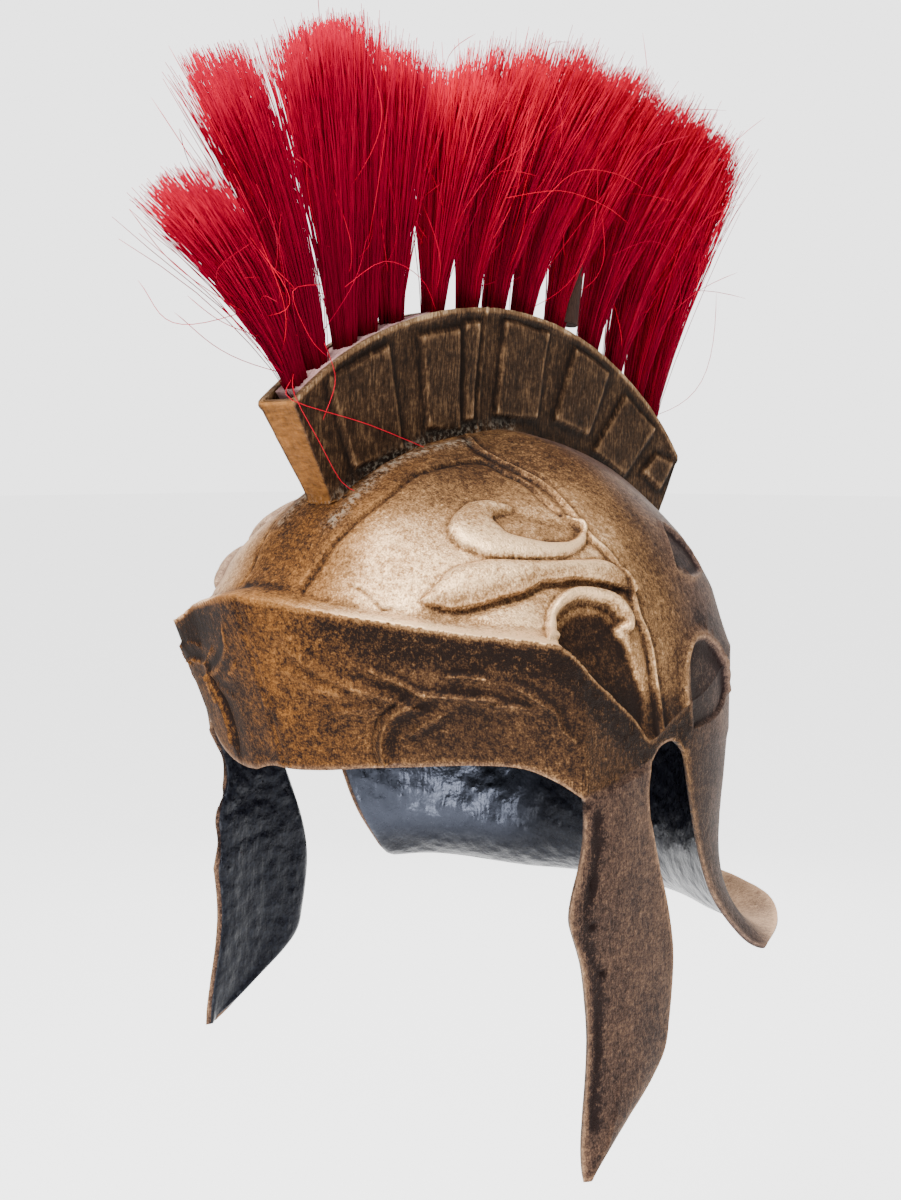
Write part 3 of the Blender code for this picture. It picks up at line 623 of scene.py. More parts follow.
BROW_LINES = (  # height, width in mm, then places as azimuth in degrees and height in mm
    (-0.6, 1.2, ((0, 46), (0, 20), (0, -16))),
    (0.9, 1.3, ((-3.2, 16.1), (-1.9, 12.3), (0.3, 10.2), (0.3, 7.4), (-2.9, 3.6))),
    (1.3, 1.9, ((8.1, 32.7), (8.6, 28.7), (10.7, 24.2), (14.1, 20.4), (17.6, 17.3), (22.5, 15.0),
                (27.7, 12.1))),
    (1.0, 1.6, ((7.0, 21.2), (9.4, 18.7), (12.8, 15.6), (14.9, 14.7))),
    (0.7, 1.0, ((13.5, 8.4), (18.3, 9.5), (21.3, 10.2))),
    (1.4, 1.5, ((29.1, 11.6), (25.7, 8.5), (23.5, 4.2), (22.1, -1.5), (21.8, -7.1), (22.3, -11.3))),
    (-1.0, 1.6, ((26.6, 12.6), (23.7, 9.0), (21.3, 4.6), (19.9, -1.5), (19.6, -7.1), (20.1, -12.0))),
    (1.1, 1.4, ((33.7, 7.9), (30.7, 4.9), (28.6, 1.9))),
    (0.9, 0.8, ((21.7, 23.1), (24.7, 20.6), (27.0, 18.8), (29.7, 16.3), (33.2, 15.3), (39.0, 15.1))),
    (0.9, 0.7, ((35.4, 22.0), (38.0, 22.3), (41.4, 21.8))),
    (0.8, 0.7, ((40.0, 15.0), (43.6, 14.6))),
    (0.8, 0.7, ((43.9, 13.0), (48.2, 12.6))),
    (1.1, 1.0, ((47.1, 19), (48.9, 17), (51, 14), (53, 11), (53.8, 6), (55.9, 2))),
)
BROW_SCALE = 1.9  # mm for each degree on the brow guard
REAR_SCALE = 1.65  # mm for each degree on the skull's rear
REAR_ARCH_RIM = ((90, -8), (89.5, 9), (91, 20), (94.5, 26.5), (99, 29), (105, 27), (111, 22),
                 (114.5, 14), (116, 5))
REAR_ARCH_FLOOR = ((92.5, -4), (92, 8), (92.8, 20), (95, 25.5), (100, 27.5), (105, 26), (110, 21),
                   (113, 14), (115, 6), (111, 0), (104, -3))
REAR_OVAL = ((99, 52), (103, 60), (108.4, 68), (114.5, 66), (121, 58), (119.8, 50), (108.4, 48))
CHEEK_SCARS = (  # forward, height and size in mm of the slots and pits in the cheek guard
    (57.5, -47.0, 2.6), (57.6, -51.5, 2.2), (57.8, -61.0, 1.4), (53.0, -33.0, 1.3), (52.0, -78.0, 1.0),
    (14.0, -44.0, 1.8), (17.0, -50.0, 1.3), (20.0, -40.0, 1.2), (12.5, -70.0, 1.2), (24.0, -30.0, 1.5),
)
CHEEK_CHANNEL = ((56, -24), (56, -33), (57.5, -43), (60.5, -52), (61.5, -59), (59, -68), (55.5, -78),
                 (54.5, -90), (55, -104), (57, -118), (58.5, -128))
CHEEK_SCRATCH = ((44.0, -119.0), (48.0, -128.0), (52.5, -136.0))
CARD_RELIEF = {  # height, or depth below 0, and the width of its edge or line, in mm
    "ribbon": (2.9, 5.2), "oval": (-0.7, 1.4), "leaf": (3.2, 6.5), "leaf_foot": (-1.3, 1.9),
    "shoe": (2.5, 2.3), "streak": (0.45, 0.7), "groove": (-0.75, 1.0), "seam": (1.2, 1.0),
    "seam_twin": (0.55, 1.1), "seam_ditch": (-0.5, 1.2), "foot": (0.8, 2.6), "crack": (-0.5, 0.4),
}
FIELD_DEPTHS = (2.6, 1.0)  # at the field's top and at its foot
FIELD_TOP, FIELD_SPAN, FIELD_EDGE = 24.0, 22.0, 1.8
GROOVE_LIP_RISE, GROOVE_LIP_EDGE, GROOVE_LIP_WIDTH = 0.55, 1.4, 7.0
SEAM_TWIN_GAP, SEAM_DITCH_GAP = 4.6, -2.2
CARD_DARK = {  # how dark the paint is, and over how many mm; leaf_foot is painted shade under the leaf
    "oval": (0.40, 2.5), "floor": (0.25, 2.5), "field": (0.60, 3.0), "groove": (0.32, 1.5),
    "leaf_foot": (0.75, 4.4), "crack": (0.45, 0.4), "seam_outside": (0.4, 1.8), "seam_inside": (0.3, 1.4),
    "ribbon_rim": (0.35, 1.0), "field_foot": (0.4, 10.0), "chalk": (1.0, 2.2),
}
REAR_RELIEF = {"rim": (1.5, 1.5), "arch": (-1.5, 1.6), "oval": (-1.2, 2.0), "oval_rim": (0.7, 1.4)}
REAR_DARK = {"arch": (0.45, 2.5), "oval": (0.35, 3.0)}
CHEEK_RELIEF = {"channel": (-0.7, 1.5), "scratch": (0.5, 0.6)}
CHEEK_DARK = {"channel": (0.56, 2.2), "scar": 0.7}
SCAR_DEPTH, SCAR_SHARE, SCAR_SQUEEZE = 1.6, 0.8, 1.7
FINE_REACH = 3.4
FINEST_REACH = 1.3


def card_spots(places):
    """Places in mm on a card held against the side of the skull, tilted back by 35 degrees."""
    side, back, height = abs(places[:, 0]), places[:, 1], places[:, 2] - WIDEST_LINE
    tilt = math.radians(35.0)
    turn = math.radians(60.0)
    across = side * math.cos(turn) + back * math.sin(turn)
    away = side * math.sin(turn) - back * math.cos(turn)
    return np.stack([across, height * math.cos(tilt) - away * math.sin(tilt)], -1) / MM


def turn_spots(places, scale):
    """Places unrolled round the skull: mm along and mm up."""
    azimuth = azimuth_of(np.abs(places[:, 0]), -places[:, 1])
    return np.stack([azimuth * scale, (places[:, 2] - WIDEST_LINE) / MM], -1)


def line_reach(spots, line):
    """How far spots lie from a line, and on which side of it: left is positive."""
    line = np.asarray(line, float)
    nearest = np.full(len(spots), 1e9)
    side = np.ones(len(spots))
    for start, end in zip(line[:-1], line[1:]):
        way = end - start
        offset = spots - start
        along = np.clip(offset @ way / (way @ way + 1e-12), 0.0, 1.0)
        reach = np.hypot(*(offset - along[:, None] * way).T)
        closer = reach < nearest
        nearest = np.where(closer, reach, nearest)
        side = np.where(closer, np.sign(way[0] * offset[:, 1] - way[1] * offset[:, 0]), side)
    return nearest, side


def shape_depth(spots, outline):
    """How deep spots lie inside a closed outline; outside it the number is negative."""
    outline = np.asarray(outline, float)
    within = np.zeros(len(spots), bool)
    for start, end in zip(outline, np.roll(outline, -1, axis=0)):
        crossing = (start[1] > spots[:, 1]) != (end[1] > spots[:, 1])
        rise = end[1] - start[1] if end[1] != start[1] else 1e-9
        ahead = spots[:, 0] < start[0] + (spots[:, 1] - start[1]) / rise * (end[0] - start[0])
        within ^= crossing & ahead
    reach, _ = line_reach(spots, np.concatenate([outline, outline[:1]]))
    return np.where(within, reach, -reach)


def swell(depth, width):
    """A quarter-round edge: 0 outside, 1 at the given depth and deeper."""
    share = np.clip(depth / width, 0.0, 1.0)
    return np.sqrt(share * (2.0 - share))


def bead(reach, width):
    """A soft ridge, 1 on its line."""
    return np.exp(-(reach / width) ** 2)


def rounded(line, steps=4):
    """A line of the ornament, with its corners rounded."""
    return smooth_line(line, steps)


def line_share(table, name, reach):
    """What a table says for a soft line, at distances from it."""
    amount, width = table[name]
    return amount * bead(reach, width)


def floor_share(table, name, depth):
    """What a table says for a floor, at depths inside its outline."""
    amount, width = table[name]
    return amount * smooth_step(depth / width)


def pad_share(table, name, depth):
    """What a table says for a rounded pad, at depths inside its outline."""
    amount, width = table[name]
    return amount * swell(depth, width)


def ornament_reach(places):
    """How far places lie from the nearest line of the ornament, in mm."""
    card, brow = card_spots(places), turn_spots(places, BROW_SCALE)
    rear = turn_spots(places, REAR_SCALE)
    near = np.full(len(places), 1e9)
    for line in ORNAMENT.values():
        near = np.minimum(near, line_reach(card, line)[0])
    in_front = brow[:, 0] < 62.0 * BROW_SCALE
    for _, _, line in BROW_LINES:
        reach = line_reach(brow, np.array(line) * (BROW_SCALE, 1.0))[0]
        near = np.where(in_front, np.minimum(near, reach), near)
    turn = brow[:, 0] / BROW_SCALE
    over_ridge = np.abs(brow[:, 1] - ridge_at(turn, LEFT)[1] / MM)
    near = np.where(turn < 82.0, np.minimum(near, over_ridge * 1.5), near)
    for line in (REAR_ARCH_FLOOR, REAR_OVAL):
        near = np.minimum(near, line_reach(rear, np.array(line) * (REAR_SCALE, 1.0))[0])
    return near


def make_finer(piece, reach, both_sides):
    """Cut the outer faces near the ornament in four."""
    data = piece.data
    centres = read_numbers(data.polygons, "center", each=3)
    finish = read_numbers(data.polygons, "material_index", int)
    select_only(piece)
    bpy.ops.object.mode_set(mode='EDIT')
    bpy.ops.mesh.select_mode(type='FACE')
    bpy.ops.mesh.select_all(action='DESELECT')
    bpy.ops.object.mode_set(mode='OBJECT')
    chosen = (ornament_reach(centres) < reach) & (finish == 0) & (both_sides | (centres[:, 0] > 0.0))
    data.polygons.foreach_set("select", chosen)
    bpy.ops.object.mode_set(mode='EDIT')
    bpy.ops.mesh.subdivide(number_cuts=1)
    bpy.ops.object.mode_set(mode='OBJECT')


def neighbour_mean(piece, values, rounds):
    """Values at corners, evened out with their neighbours a number of times."""
    first, second = read_numbers(piece.data.edges, "vertices", int, each=2).T
    count = np.bincount(first, minlength=len(values)) + np.bincount(second, minlength=len(values)) + 1.0
    for _ in range(rounds):
        total = (np.bincount(first, values[second], len(values))
                 + np.bincount(second, values[first], len(values)) + values)
        values = total / count
    return values


def grain(places, scale, seed):
    """Smooth random numbers from about -1 to 1 at places in metres."""
    return np.array([noise.noise(Vector(place) * scale + Vector((seed, 0.0, 0.0)))
                     for place in places])


def card_relief(places):
    """Height in mm of the side ornament, and how dark its paint is, with painted shade under the leaf."""
    spots = card_spots(places)
    lines = {name: rounded(line, 4) for name, line in ORNAMENT.items() if name != "crack"}
    ribbon = np.concatenate([lines["ribbon_out"], lines["ribbon_in"]])
    shoe = np.concatenate([lines["shoe_out"], lines["shoe_in"]])
    ribbon_depth = shape_depth(spots, ribbon)
    oval_depth = shape_depth(spots, lines["ribbon_in"])
    leaf_depth = shape_depth(spots, lines["leaf"])
    floor_depth = shape_depth(spots, lines["shoe_floor"])
    sunk_depth = np.maximum(floor_depth, shape_depth(spots, lines["field"]))
    foot_reach = line_reach(spots, lines["leaf_foot"])[0]
    groove_reach, groove_side = line_reach(spots, lines["groove"])
    seam_reach, seam_side = line_reach(spots, lines["seam"])
    across = seam_reach * seam_side
    putty_reach = line_reach(spots, lines["foot"])[0]
    crack_reach = line_reach(spots, ORNAMENT["crack"])[0]
    rise = pad_share(CARD_RELIEF, "ribbon", ribbon_depth) + floor_share(CARD_RELIEF, "oval", oval_depth)
    rise += pad_share(CARD_RELIEF, "leaf", leaf_depth)
    rise += line_share(CARD_RELIEF, "leaf_foot", foot_reach) * (leaf_depth < 0.0)
    rise += pad_share(CARD_RELIEF, "shoe", shape_depth(spots, shoe))
    lowered = between(*FIELD_DEPTHS, grows(-spots[:, 1], FIELD_TOP, FIELD_SPAN))
    rise -= lowered * smooth_step(sunk_depth / FIELD_EDGE)
    for streak in FIELD_STREAKS:
        rise += line_share(CARD_RELIEF, "streak", line_reach(spots, streak)[0])
    rise += line_share(CARD_RELIEF, "groove", groove_reach)
    rise += (GROOVE_LIP_RISE * smooth_step(groove_reach / GROOVE_LIP_EDGE)
             * bead(groove_reach, GROOVE_LIP_WIDTH) * (groove_side > 0))
    rise += (line_share(CARD_RELIEF, "seam", seam_reach)
             + line_share(CARD_RELIEF, "seam_twin", across - SEAM_TWIN_GAP)
             + line_share(CARD_RELIEF, "seam_ditch", across - SEAM_DITCH_GAP))
    rise += line_share(CARD_RELIEF, "foot", putty_reach) + line_share(CARD_RELIEF, "crack", crack_reach)
    dark = (floor_share(CARD_DARK, "oval", oval_depth) + floor_share(CARD_DARK, "floor", floor_depth)
            + floor_share(CARD_DARK, "field", sunk_depth) + line_share(CARD_DARK, "groove", groove_reach)
            # painted shade under the leaf, reaching into its lower part
            + line_share(CARD_DARK, "leaf_foot", foot_reach - 1.0) * (leaf_depth < 6.0)
            + line_share(CARD_DARK, "crack", crack_reach)
            + line_share(CARD_DARK, "seam_outside", across + 2.6)
            + line_share(CARD_DARK, "seam_inside", across - 2.4)
            + line_share(CARD_DARK, "ribbon_rim", ribbon_depth + 0.8)
            + floor_share(CARD_DARK, "field_foot", -38.0 - spots[:, 1]))
    chalk = line_share(CARD_DARK, "chalk", putty_reach)
    return rise, dark, chalk


def brow_relief(places):
    """Height in mm of the brow guard's scrolls, and the painted shade along one side of each."""
    spots = turn_spots(places, BROW_SCALE)
    rise, dark = np.zeros(len(places)), np.zeros(len(places))
    for height, width, line in BROW_LINES:
        way = rounded(np.array(line) * (BROW_SCALE, 1.0), 4)
        reach, side = line_reach(spots, way)
        worn = between(0.7, 1.0, grows(spots[:, 0] / BROW_SCALE, 10.0, 16.0))
        rise += worn * height * bead(reach, width)
        rise += worn * 0.7 * height * bead(reach - width * 1.2, width * 3.0) * (side < 0)
        # Painted shade on one side of each scroll.
        dark += worn * 0.22 * bead(reach - width * 2.0, width) * (side > 0)
    return rise, dark


def rear_relief(places):
    """Height in mm of the arch and oval behind the ear, and how dark their paint is."""
    spots = turn_spots(places, REAR_SCALE)
    scale = (REAR_SCALE, 1.0)
    rim_reach, _ = line_reach(spots, rounded(np.array(REAR_ARCH_RIM) * scale, 4))
    arch_depth = shape_depth(spots, rounded(np.array(REAR_ARCH_FLOOR) * scale, 3))
    oval_depth = shape_depth(spots, rounded(np.array(REAR_OVAL) * scale, 3))
    rise = (line_share(REAR_RELIEF, "rim", rim_reach) + floor_share(REAR_RELIEF, "arch", arch_depth)
            + floor_share(REAR_RELIEF, "oval", oval_depth)
            + line_share(REAR_RELIEF, "oval_rim", oval_depth))
    dark = floor_share(REAR_DARK, "arch", arch_depth) + floor_share(REAR_DARK, "oval", oval_depth)
    return rise, dark


def cheek_relief(places):
    """Height in mm of the cheek guard's rolled rim, channel and scars, and its dark paint."""
    spots = np.stack([-places[:, 1], places[:, 2] - WIDEST_LINE], -1) / MM
    reach, _ = line_reach(spots, rounded(CHEEK_CHANNEL, 4))
    rise = line_share(CHEEK_RELIEF, "channel", reach)
    dark = line_share(CHEEK_DARK, "channel", reach)
    for ahead, height, size in CHEEK_SCARS:
        gap = np.hypot((spots[:, 0] - ahead) * SCAR_SQUEEZE, spots[:, 1] - height)
        rise -= SCAR_DEPTH * bead(gap, size * SCAR_SHARE)
        dark += CHEEK_DARK["scar"] * bead(gap, size)
    rise += line_share(CHEEK_RELIEF, "scratch", line_reach(spots, CHEEK_SCRATCH)[0])
    return rise, dark


INNER_SHARE = 0.66
CREASE_ANGLE = 50.0
COARSE_RISE, ROUGH_RISE, PIT_DEPTH = 0.35, 0.10, 0.35  # in mm, as the next ones are
RIDGE_BEAD_RISE, RIDGE_BEAD_WIDTH, RIDGE_DITCH_DEPTH, RIDGE_DITCH_WIDTH = 0.5, 1.2, 0.8, 1.3
CORNER_PIT = (61.0, -20.5)  # forward and height
CORNER_PIT_DEPTH, CORNER_PIT_WIDTH = 1.6, 1.8
CHEEK_DARKER, BROW_DARKER, BROW_END_DARKER, BROW_RIGHT_DARKER, PITS_DARKER = 0.28, 0.14, 0.14, 0.26, 0.44
bronze = bpy.data.materials.new("aged_bronze_paint")
black = bpy.data.materials.new("black_lacquer")
shell.data.materials.append(bronze)
shell.data.materials.append(black)
bpy.ops.object.mode_set(mode='EDIT')
bpy.ops.mesh.select_mode(type='VERT')
bpy.ops.mesh.select_all(action='DESELECT')
bpy.ops.mesh.select_non_manifold()
bpy.ops.object.mode_set(mode='OBJECT')
rim_spots = [corner.co.copy() for corner in shell.data.vertices if corner.select]
shell.vertex_groups.new(name="inner")
add_modifier(shell, 'SOLIDIFY', thickness=WALL, offset=-1.0, use_even_offset=False,
             shell_vertex_group="inner", material_offset=1)
add_modifier(shell, 'SMOOTH', factor=0.5, iterations=8, vertex_group="inner")
add_modifier(shell, 'DECIMATE', ratio=INNER_SHARE, vertex_group="inner")
make_finer(shell, FINE_REACH, True)
make_finer(shell, FINEST_REACH, False)
places, normals = places_and_normals(shell)
face_corners = read_numbers(shell.data.loops, "vertex_index", int)
face_finish = read_numbers(shell.data.polygons, "material_index", int)
face_sizes = read_numbers(shell.data.polygons, "loop_total", int)
inner = np.bincount(face_corners, np.repeat(face_finish, face_sizes), len(places)) > 0.0
on_outside = np.where(inner, 0.0, 1.0)
azimuth = azimuth_of(np.abs(places[:, 0]), -places[:, 1])
height = (places[:, 2] - WIDEST_LINE) / MM
ridge_height = ridge_at(azimuth, LEFT)[1] / MM
edge_height = edge_at(azimuth, LEFT)[1] / MM
on_left = places[:, 0] > 0.0
ridge_height = np.where(on_left, ridge_height, ridge_at(azimuth, RIGHT)[1] / MM)
edge_height = np.where(on_left, edge_height, edge_at(azimuth, RIGHT)[1] / MM)
on_cheek = (height < edge_height + 1.0) & (azimuth < 100.0) & (places[:, 1] < -0.008)
on_brow = (height < ridge_height) & (azimuth < RIDGE_END) & ~on_cheek
on_skull = ~on_cheek & ~on_brow
card_rise, card_dark, chalk = card_relief(places)
brow_rise, brow_dark = brow_relief(places)
rear_rise, rear_dark = rear_relief(places)
cheek_rise, cheek_dark = cheek_relief(places)
coarse = grain(places, 55.0, 3.0)
rough = grain(places, 240.0, 9.0)
signed_turn = azimuth_of(places[:, 0], -places[:, 1])
rise = np.where(on_skull, card_rise + rear_rise, 0.0)
rise += np.where(on_brow, brow_rise, 0.0) + np.where(on_cheek, cheek_rise, 0.0)
dark = np.where(on_skull, card_dark + rear_dark, 0.0)
dark += np.where(on_brow, brow_dark, 0.0) + np.where(on_cheek, cheek_dark, 0.0)
ridge_gap = ridge_height - height
pitted = on_brow * grows(azimuth, 4.0, 22.0) * grows(ridge_gap, 0.8, 3.2)
pitted = pitted * (1.0 - grows(ridge_gap - 5.0 * coarse, 9.0, 8.0))
rise += COARSE_RISE * coarse + ROUGH_RISE * rough
rise -= PIT_DEPTH * pitted * grows(rough, -0.25, 0.5)
over_ridge = height - ridge_height
front = fades(azimuth, 78.0, 10.0) * on_skull
rise -= RIDGE_DITCH_DEPTH * front * bead(over_ridge - 3.4, RIDGE_DITCH_WIDTH)
rise += RIDGE_BEAD_RISE * front * bead(over_ridge - 0.8, RIDGE_BEAD_WIDTH)
corner_gap = np.hypot(-places[:, 1] / MM - CORNER_PIT[0], height - CORNER_PIT[1])
rise -= CORNER_PIT_DEPTH * bead(corner_gap, CORNER_PIT_WIDTH) * on_left
sharp = neighbour_mean(shell, rise, 1) - neighbour_mean(shell, rise, 14)
push_out(shell, places, normals, rise * on_outside)
rim_tree = KDTree(len(rim_spots))
for index, spot in enumerate(rim_spots):
    rim_tree.insert(spot, index)
rim_tree.balance()
rim_gap = np.array([rim_tree.find(spot)[2] for spot in places]) / MM
# A bright line along the brow ridge: worn edge and painted highlight where the ledge catches the light
# from above.
ridge_bead = bead(over_ridge + 0.4, 1.1) * fades(azimuth, 82.0, 12.0)
# The cheek guards are darkened; the brow guard is darkened as darker paint and as painted shade on a face
# turned down from the high key light, and its right end further as painted shade.
dark += CHEEK_DARKER * on_cheek + on_brow * (BROW_DARKER + BROW_END_DARKER * grows(azimuth, 30.0, 16.0)
                                             + BROW_RIGHT_DARKER * fades(signed_turn, 6.0, 12.0))
# Gold dry-brush paint on the skull's front and sides, which also stands as a painted highlight where the
# key light falls; the field and the leaf get less of it.
gold = (grows(azimuth, 3.0, 20.0) * fades(azimuth, 96.0, 34.0) * grows(height, 2.0, 14.0)
        * fades(height, 94.0, 34.0) * on_skull)
for shape_name, darker, span in (("field", 0.80, 3.0), ("leaf", 0.26, 2.0)):
    shape_inside = shape_depth(card_spots(places), ORNAMENT[shape_name])
    gold *= 1.0 - darker * smooth_step(shape_inside / span)
# Painted highlight: the neck flange's upper face at the back is painted brighter, as lit from above.
flange = 1.4 * grows(-height, 78.0, 8.0) * grows(places[:, 1], 0.04, 0.03)
# Painted reflection: a patch of the inner face at the back left is marked, to be made metallic and paler
# so that the low light glints there.
shine = (grows(-places[:, 0], 0.030, 0.024) * grows(places[:, 1], 0.004, 0.016)
         * grows(height, -88.0, 20.0))
brow_orange = on_brow * fades(signed_turn, 35.0, 40.0) * 0.85
skull_orange = on_skull * fades(np.abs(signed_turn), 26.0, 26.0) * grows(height, 8.0, 10.0) * 0.65
# Painted sheen: the skull's rear and its right side are painted a greyish plum, as the pale sheen
# reflected there; the cheek guards get the same grey as their own tone.
rear_plum = grows(azimuth, 84.0, 30.0)
right_plum = grows(-signed_turn, 8.0, 26.0) * grows(height, 20.0, 20.0)
put_attributes(shell, sharp=sharp, rim=np.maximum(bead(rim_gap, 1.8), ridge_bead) * on_outside,
               dark=np.clip(dark + PITS_DARKER * pitted, 0.0, 1.0),
               pits=np.maximum(pitted, np.clip(cheek_dark * 1.6, 0.0, 1.0) * on_cheek),
               chalk=chalk * on_skull, gold=gold, flange=flange * on_outside, shine=shine * inner,
               orange=np.maximum(brow_orange, skull_orange),
               plum=np.maximum(on_skull * np.maximum(rear_plum, right_plum), on_cheek * 0.55))

cast = Finish(bronze)
broad = cast.noise(20.0, 3.0, 0.5)
patch = cast.noise(75.0, 5.0, 0.7)
fleck = cast.noise(520.0, 4.0, 0.75)
dust = cast.noise(1500.0, 2.0, 0.6)
brushing = cast.noise(300.0, 4.0, 0.7, stretch=(5.0, 5.0, 0.6))
scuffs = cast.noise(150.0, 5.0, 0.75, stretch=(1.0, 1.0, 3.0))
edges = cast.stored("sharp")
worn = edges.ease(0.05, 0.60)
sunk = (edges * -1.0).ease(0.03, 0.6)
pits, orange = cast.stored("pits"), cast.stored("orange")
grit = (fleck - 0.5) * 1.5 + (dust - 0.5) * 1.1 + (brushing - 0.5) * 0.8 + (scuffs - 0.5) * 0.5
# The paint's brightness: gold dry-brush with its painted highlight, the flange's painted highlight,
# rubbed edges and rims, and the dark marks, some of which are painted shade.
bright = (0.25 + cast.stored("gold") * 0.52 + cast.stored("flange") * 0.45 + worn * 0.22
          + cast.stored("rim") * 0.30 + (broad - 0.5) * 0.35 + (patch - 0.5) * 0.35
          - cast.stored("dark") * 0.34 - sunk * 0.26 - pits * 0.06
          + grit * (0.56 + pits * 0.4)).limit()
paint = cast.mix(bright.ease(0.0, 0.30), (0.011, 0.007, 0.006), (0.060, 0.029, 0.014))
paint = cast.mix(bright.ease(0.22, 0.62), paint, (0.27, 0.145, 0.062))
paint = cast.mix(bright.ease(0.50, 1.0), paint, (0.90, 0.60, 0.33))
paint = cast.mix((orange * (0.30 + patch * 0.9)).limit() * bright.ease(0.0, 0.4), paint,
                 cast.mix(bright, (0.050, 0.017, 0.004), (0.50, 0.180, 0.024)))
# Greyish plum: partly the paint's own tone on the cheek guards, partly painted sheen on the skull's rear
# and right side.
paint = cast.mix(cast.stored("plum") * 0.6, paint,
                 cast.mix(bright, (0.018, 0.011, 0.012), (0.34, 0.235, 0.205)))
paint = cast.mix(cast.stored("chalk") * fleck.ease(0.45, 0.62) * 0.6, paint, (0.30, 0.26, 0.20))
cast.give("Principled BSDF", Base_Color=paint, Metallic=(0.08 + bright * 0.50) * (1.0 - orange),
          Roughness=0.56 - 0.14 * bright + orange * 0.3, IOR=1.15, Specular_Tint=(0.85, 0.62, 0.42),
          Normal=cast.bump(fleck * (0.5 + pits * 1.6) + dust * 0.3 + patch * 0.4, 0.0007))

lacquer = Finish(black)
speck = lacquer.noise(500.0, 3.0, 0.7)
blister = lacquer.cells(150.0, 'SMOOTH_F1')
drips = lacquer.noise(55.0, 4.0, 0.6)
creases = lacquer.noise(120.0, 3.0, 0.6, stretch=(1.0, 1.0, 0.35))
# Where the painted reflection lies, the black lacquer turns metallic and bluish grey.
shine = lacquer.stored("shine")
coat = lacquer.mix(speck.ease(0.45, 0.7), (0.003, 0.003, 0.005), (0.010, 0.011, 0.016))
lacquer.give("Principled BSDF", Base_Color=lacquer.mix(shine, coat, (0.045, 0.050, 0.066)),
             Metallic=shine, Roughness=0.20 + speck * 0.18, IOR=1.25, Specular_Tint=(0.86, 0.90, 1.0),
             Normal=lacquer.bump(blister * -1.5 + drips * 2.2 + creases * 1.2 + speck * 0.12, 0.0007))
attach(shell, "root")
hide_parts("helmet_shell")

# The crest box: a flaring trough cast apart from the shell and glued along the crown. Its two
# curved walls carry raised panels, and its front and back are closed by narrow end plates.
RIM_CENTRE_BACK = -0.0027
RIM_CENTRE_HEIGHT = -0.0117
RIM_RADIUS = 0.161
RIM_FRONT_TURN = -40.4
RIM_BACK_TURN = 49.2
FOOT_FRONT_TURN = -43.5
FOOT_BACK_TURN = 52.0
FOOT_BACK_RAKE = 7.5
SEAT_GAP = 0.0006
BOX_FOOT_HALF = 0.0062
BOX_RIM_HALF = 0.0093
BOX_WALL = 0.0022
BOX_LENGTH_STEPS = 250
BOX_END_STEPS = 12
BOX_RISE_STEPS = 46
CREST_SEAM = ((-10.0, 152.0), (-12.0, 120.0), (-13.0, 96.0))  # back and height in mm
BOX_PANELS = (  # back and height in mm of the corners of each raised panel
    ((-93, 119), (-62, 133), (-53, 96), (-78, 88)),
    ((-47, 137), (-25, 141), (-22, 103), (-41, 103)),
    ((-23, 143), (-14, 144), (-15, 107), (-21, 106)),
    ((0, 146), (28, 143), (23, 108), (-3, 109)),
    ((44, 138), (68, 129), (56, 102), (33, 108)),
    ((79, 121), (101, 106), (82, 85), (60, 96)),
    ((102, 95), (117, 92), (106, 79), (93, 87)),
)
BOX_RELIEF = {  # height, or depth below 0, and width in mm
    "panel": (1.15, 1.3), "seam": (0.5, 0.8), "seam_ditch": (-0.3, 0.8), "putty": (1.1, 2.4),
}
BOX_LIP_RISE, BOX_LIP_DEPTH = 0.45, 2.0
BOX_DARK = {"foot": (0.5, 5.0), "panel_rim": (0.5, 1.3)}


def skull_height(side_place, back):
    """Height of the skull's outer face over places in plan."""
    azimuth, radius = azimuth_of(abs(side_place), -back), np.hypot(side_place, back)
    low, high = np.zeros_like(radius), np.full_like(radius, SKULL_RISE)
    for _ in range(30):
        middle = (low + high) / 2.0
        under = skull_radius(azimuth, middle) > radius
        low, high = np.where(under, middle, low), np.where(under, high, middle)
    return low


def rim_place(turn, drop=0.0):
    """Back and height of places on the crest's arc, or some way below it."""
    reach = RIM_RADIUS - drop
    return (RIM_CENTRE_BACK + reach * np.sin(np.radians(turn)),
            RIM_CENTRE_HEIGHT + reach * np.cos(np.radians(turn)) + WIDEST_LINE)


def foot_place(share, side_place):
    """Places on the skull, under the crest box, on lines that fan from the rim's centre."""
    turn = np.radians(between(FOOT_FRONT_TURN, FOOT_BACK_TURN, share) + FOOT_BACK_RAKE * share ** 6)
    inside, outside = np.full_like(share, 0.06), np.full_like(share, RIM_RADIUS)
    for _ in range(30):
        reach = (inside + outside) / 2.0
        back = RIM_CENTRE_BACK + reach * np.sin(turn)
        under = RIM_CENTRE_HEIGHT + reach * np.cos(turn) < skull_height(side_place, back)
        inside, outside = np.where(under, reach, inside), np.where(under, outside, reach)
    reach = outside + SEAT_GAP
    return np.stack([side_place, RIM_CENTRE_BACK + reach * np.sin(turn),
                     RIM_CENTRE_HEIGHT + reach * np.cos(turn) + WIDEST_LINE], -1)


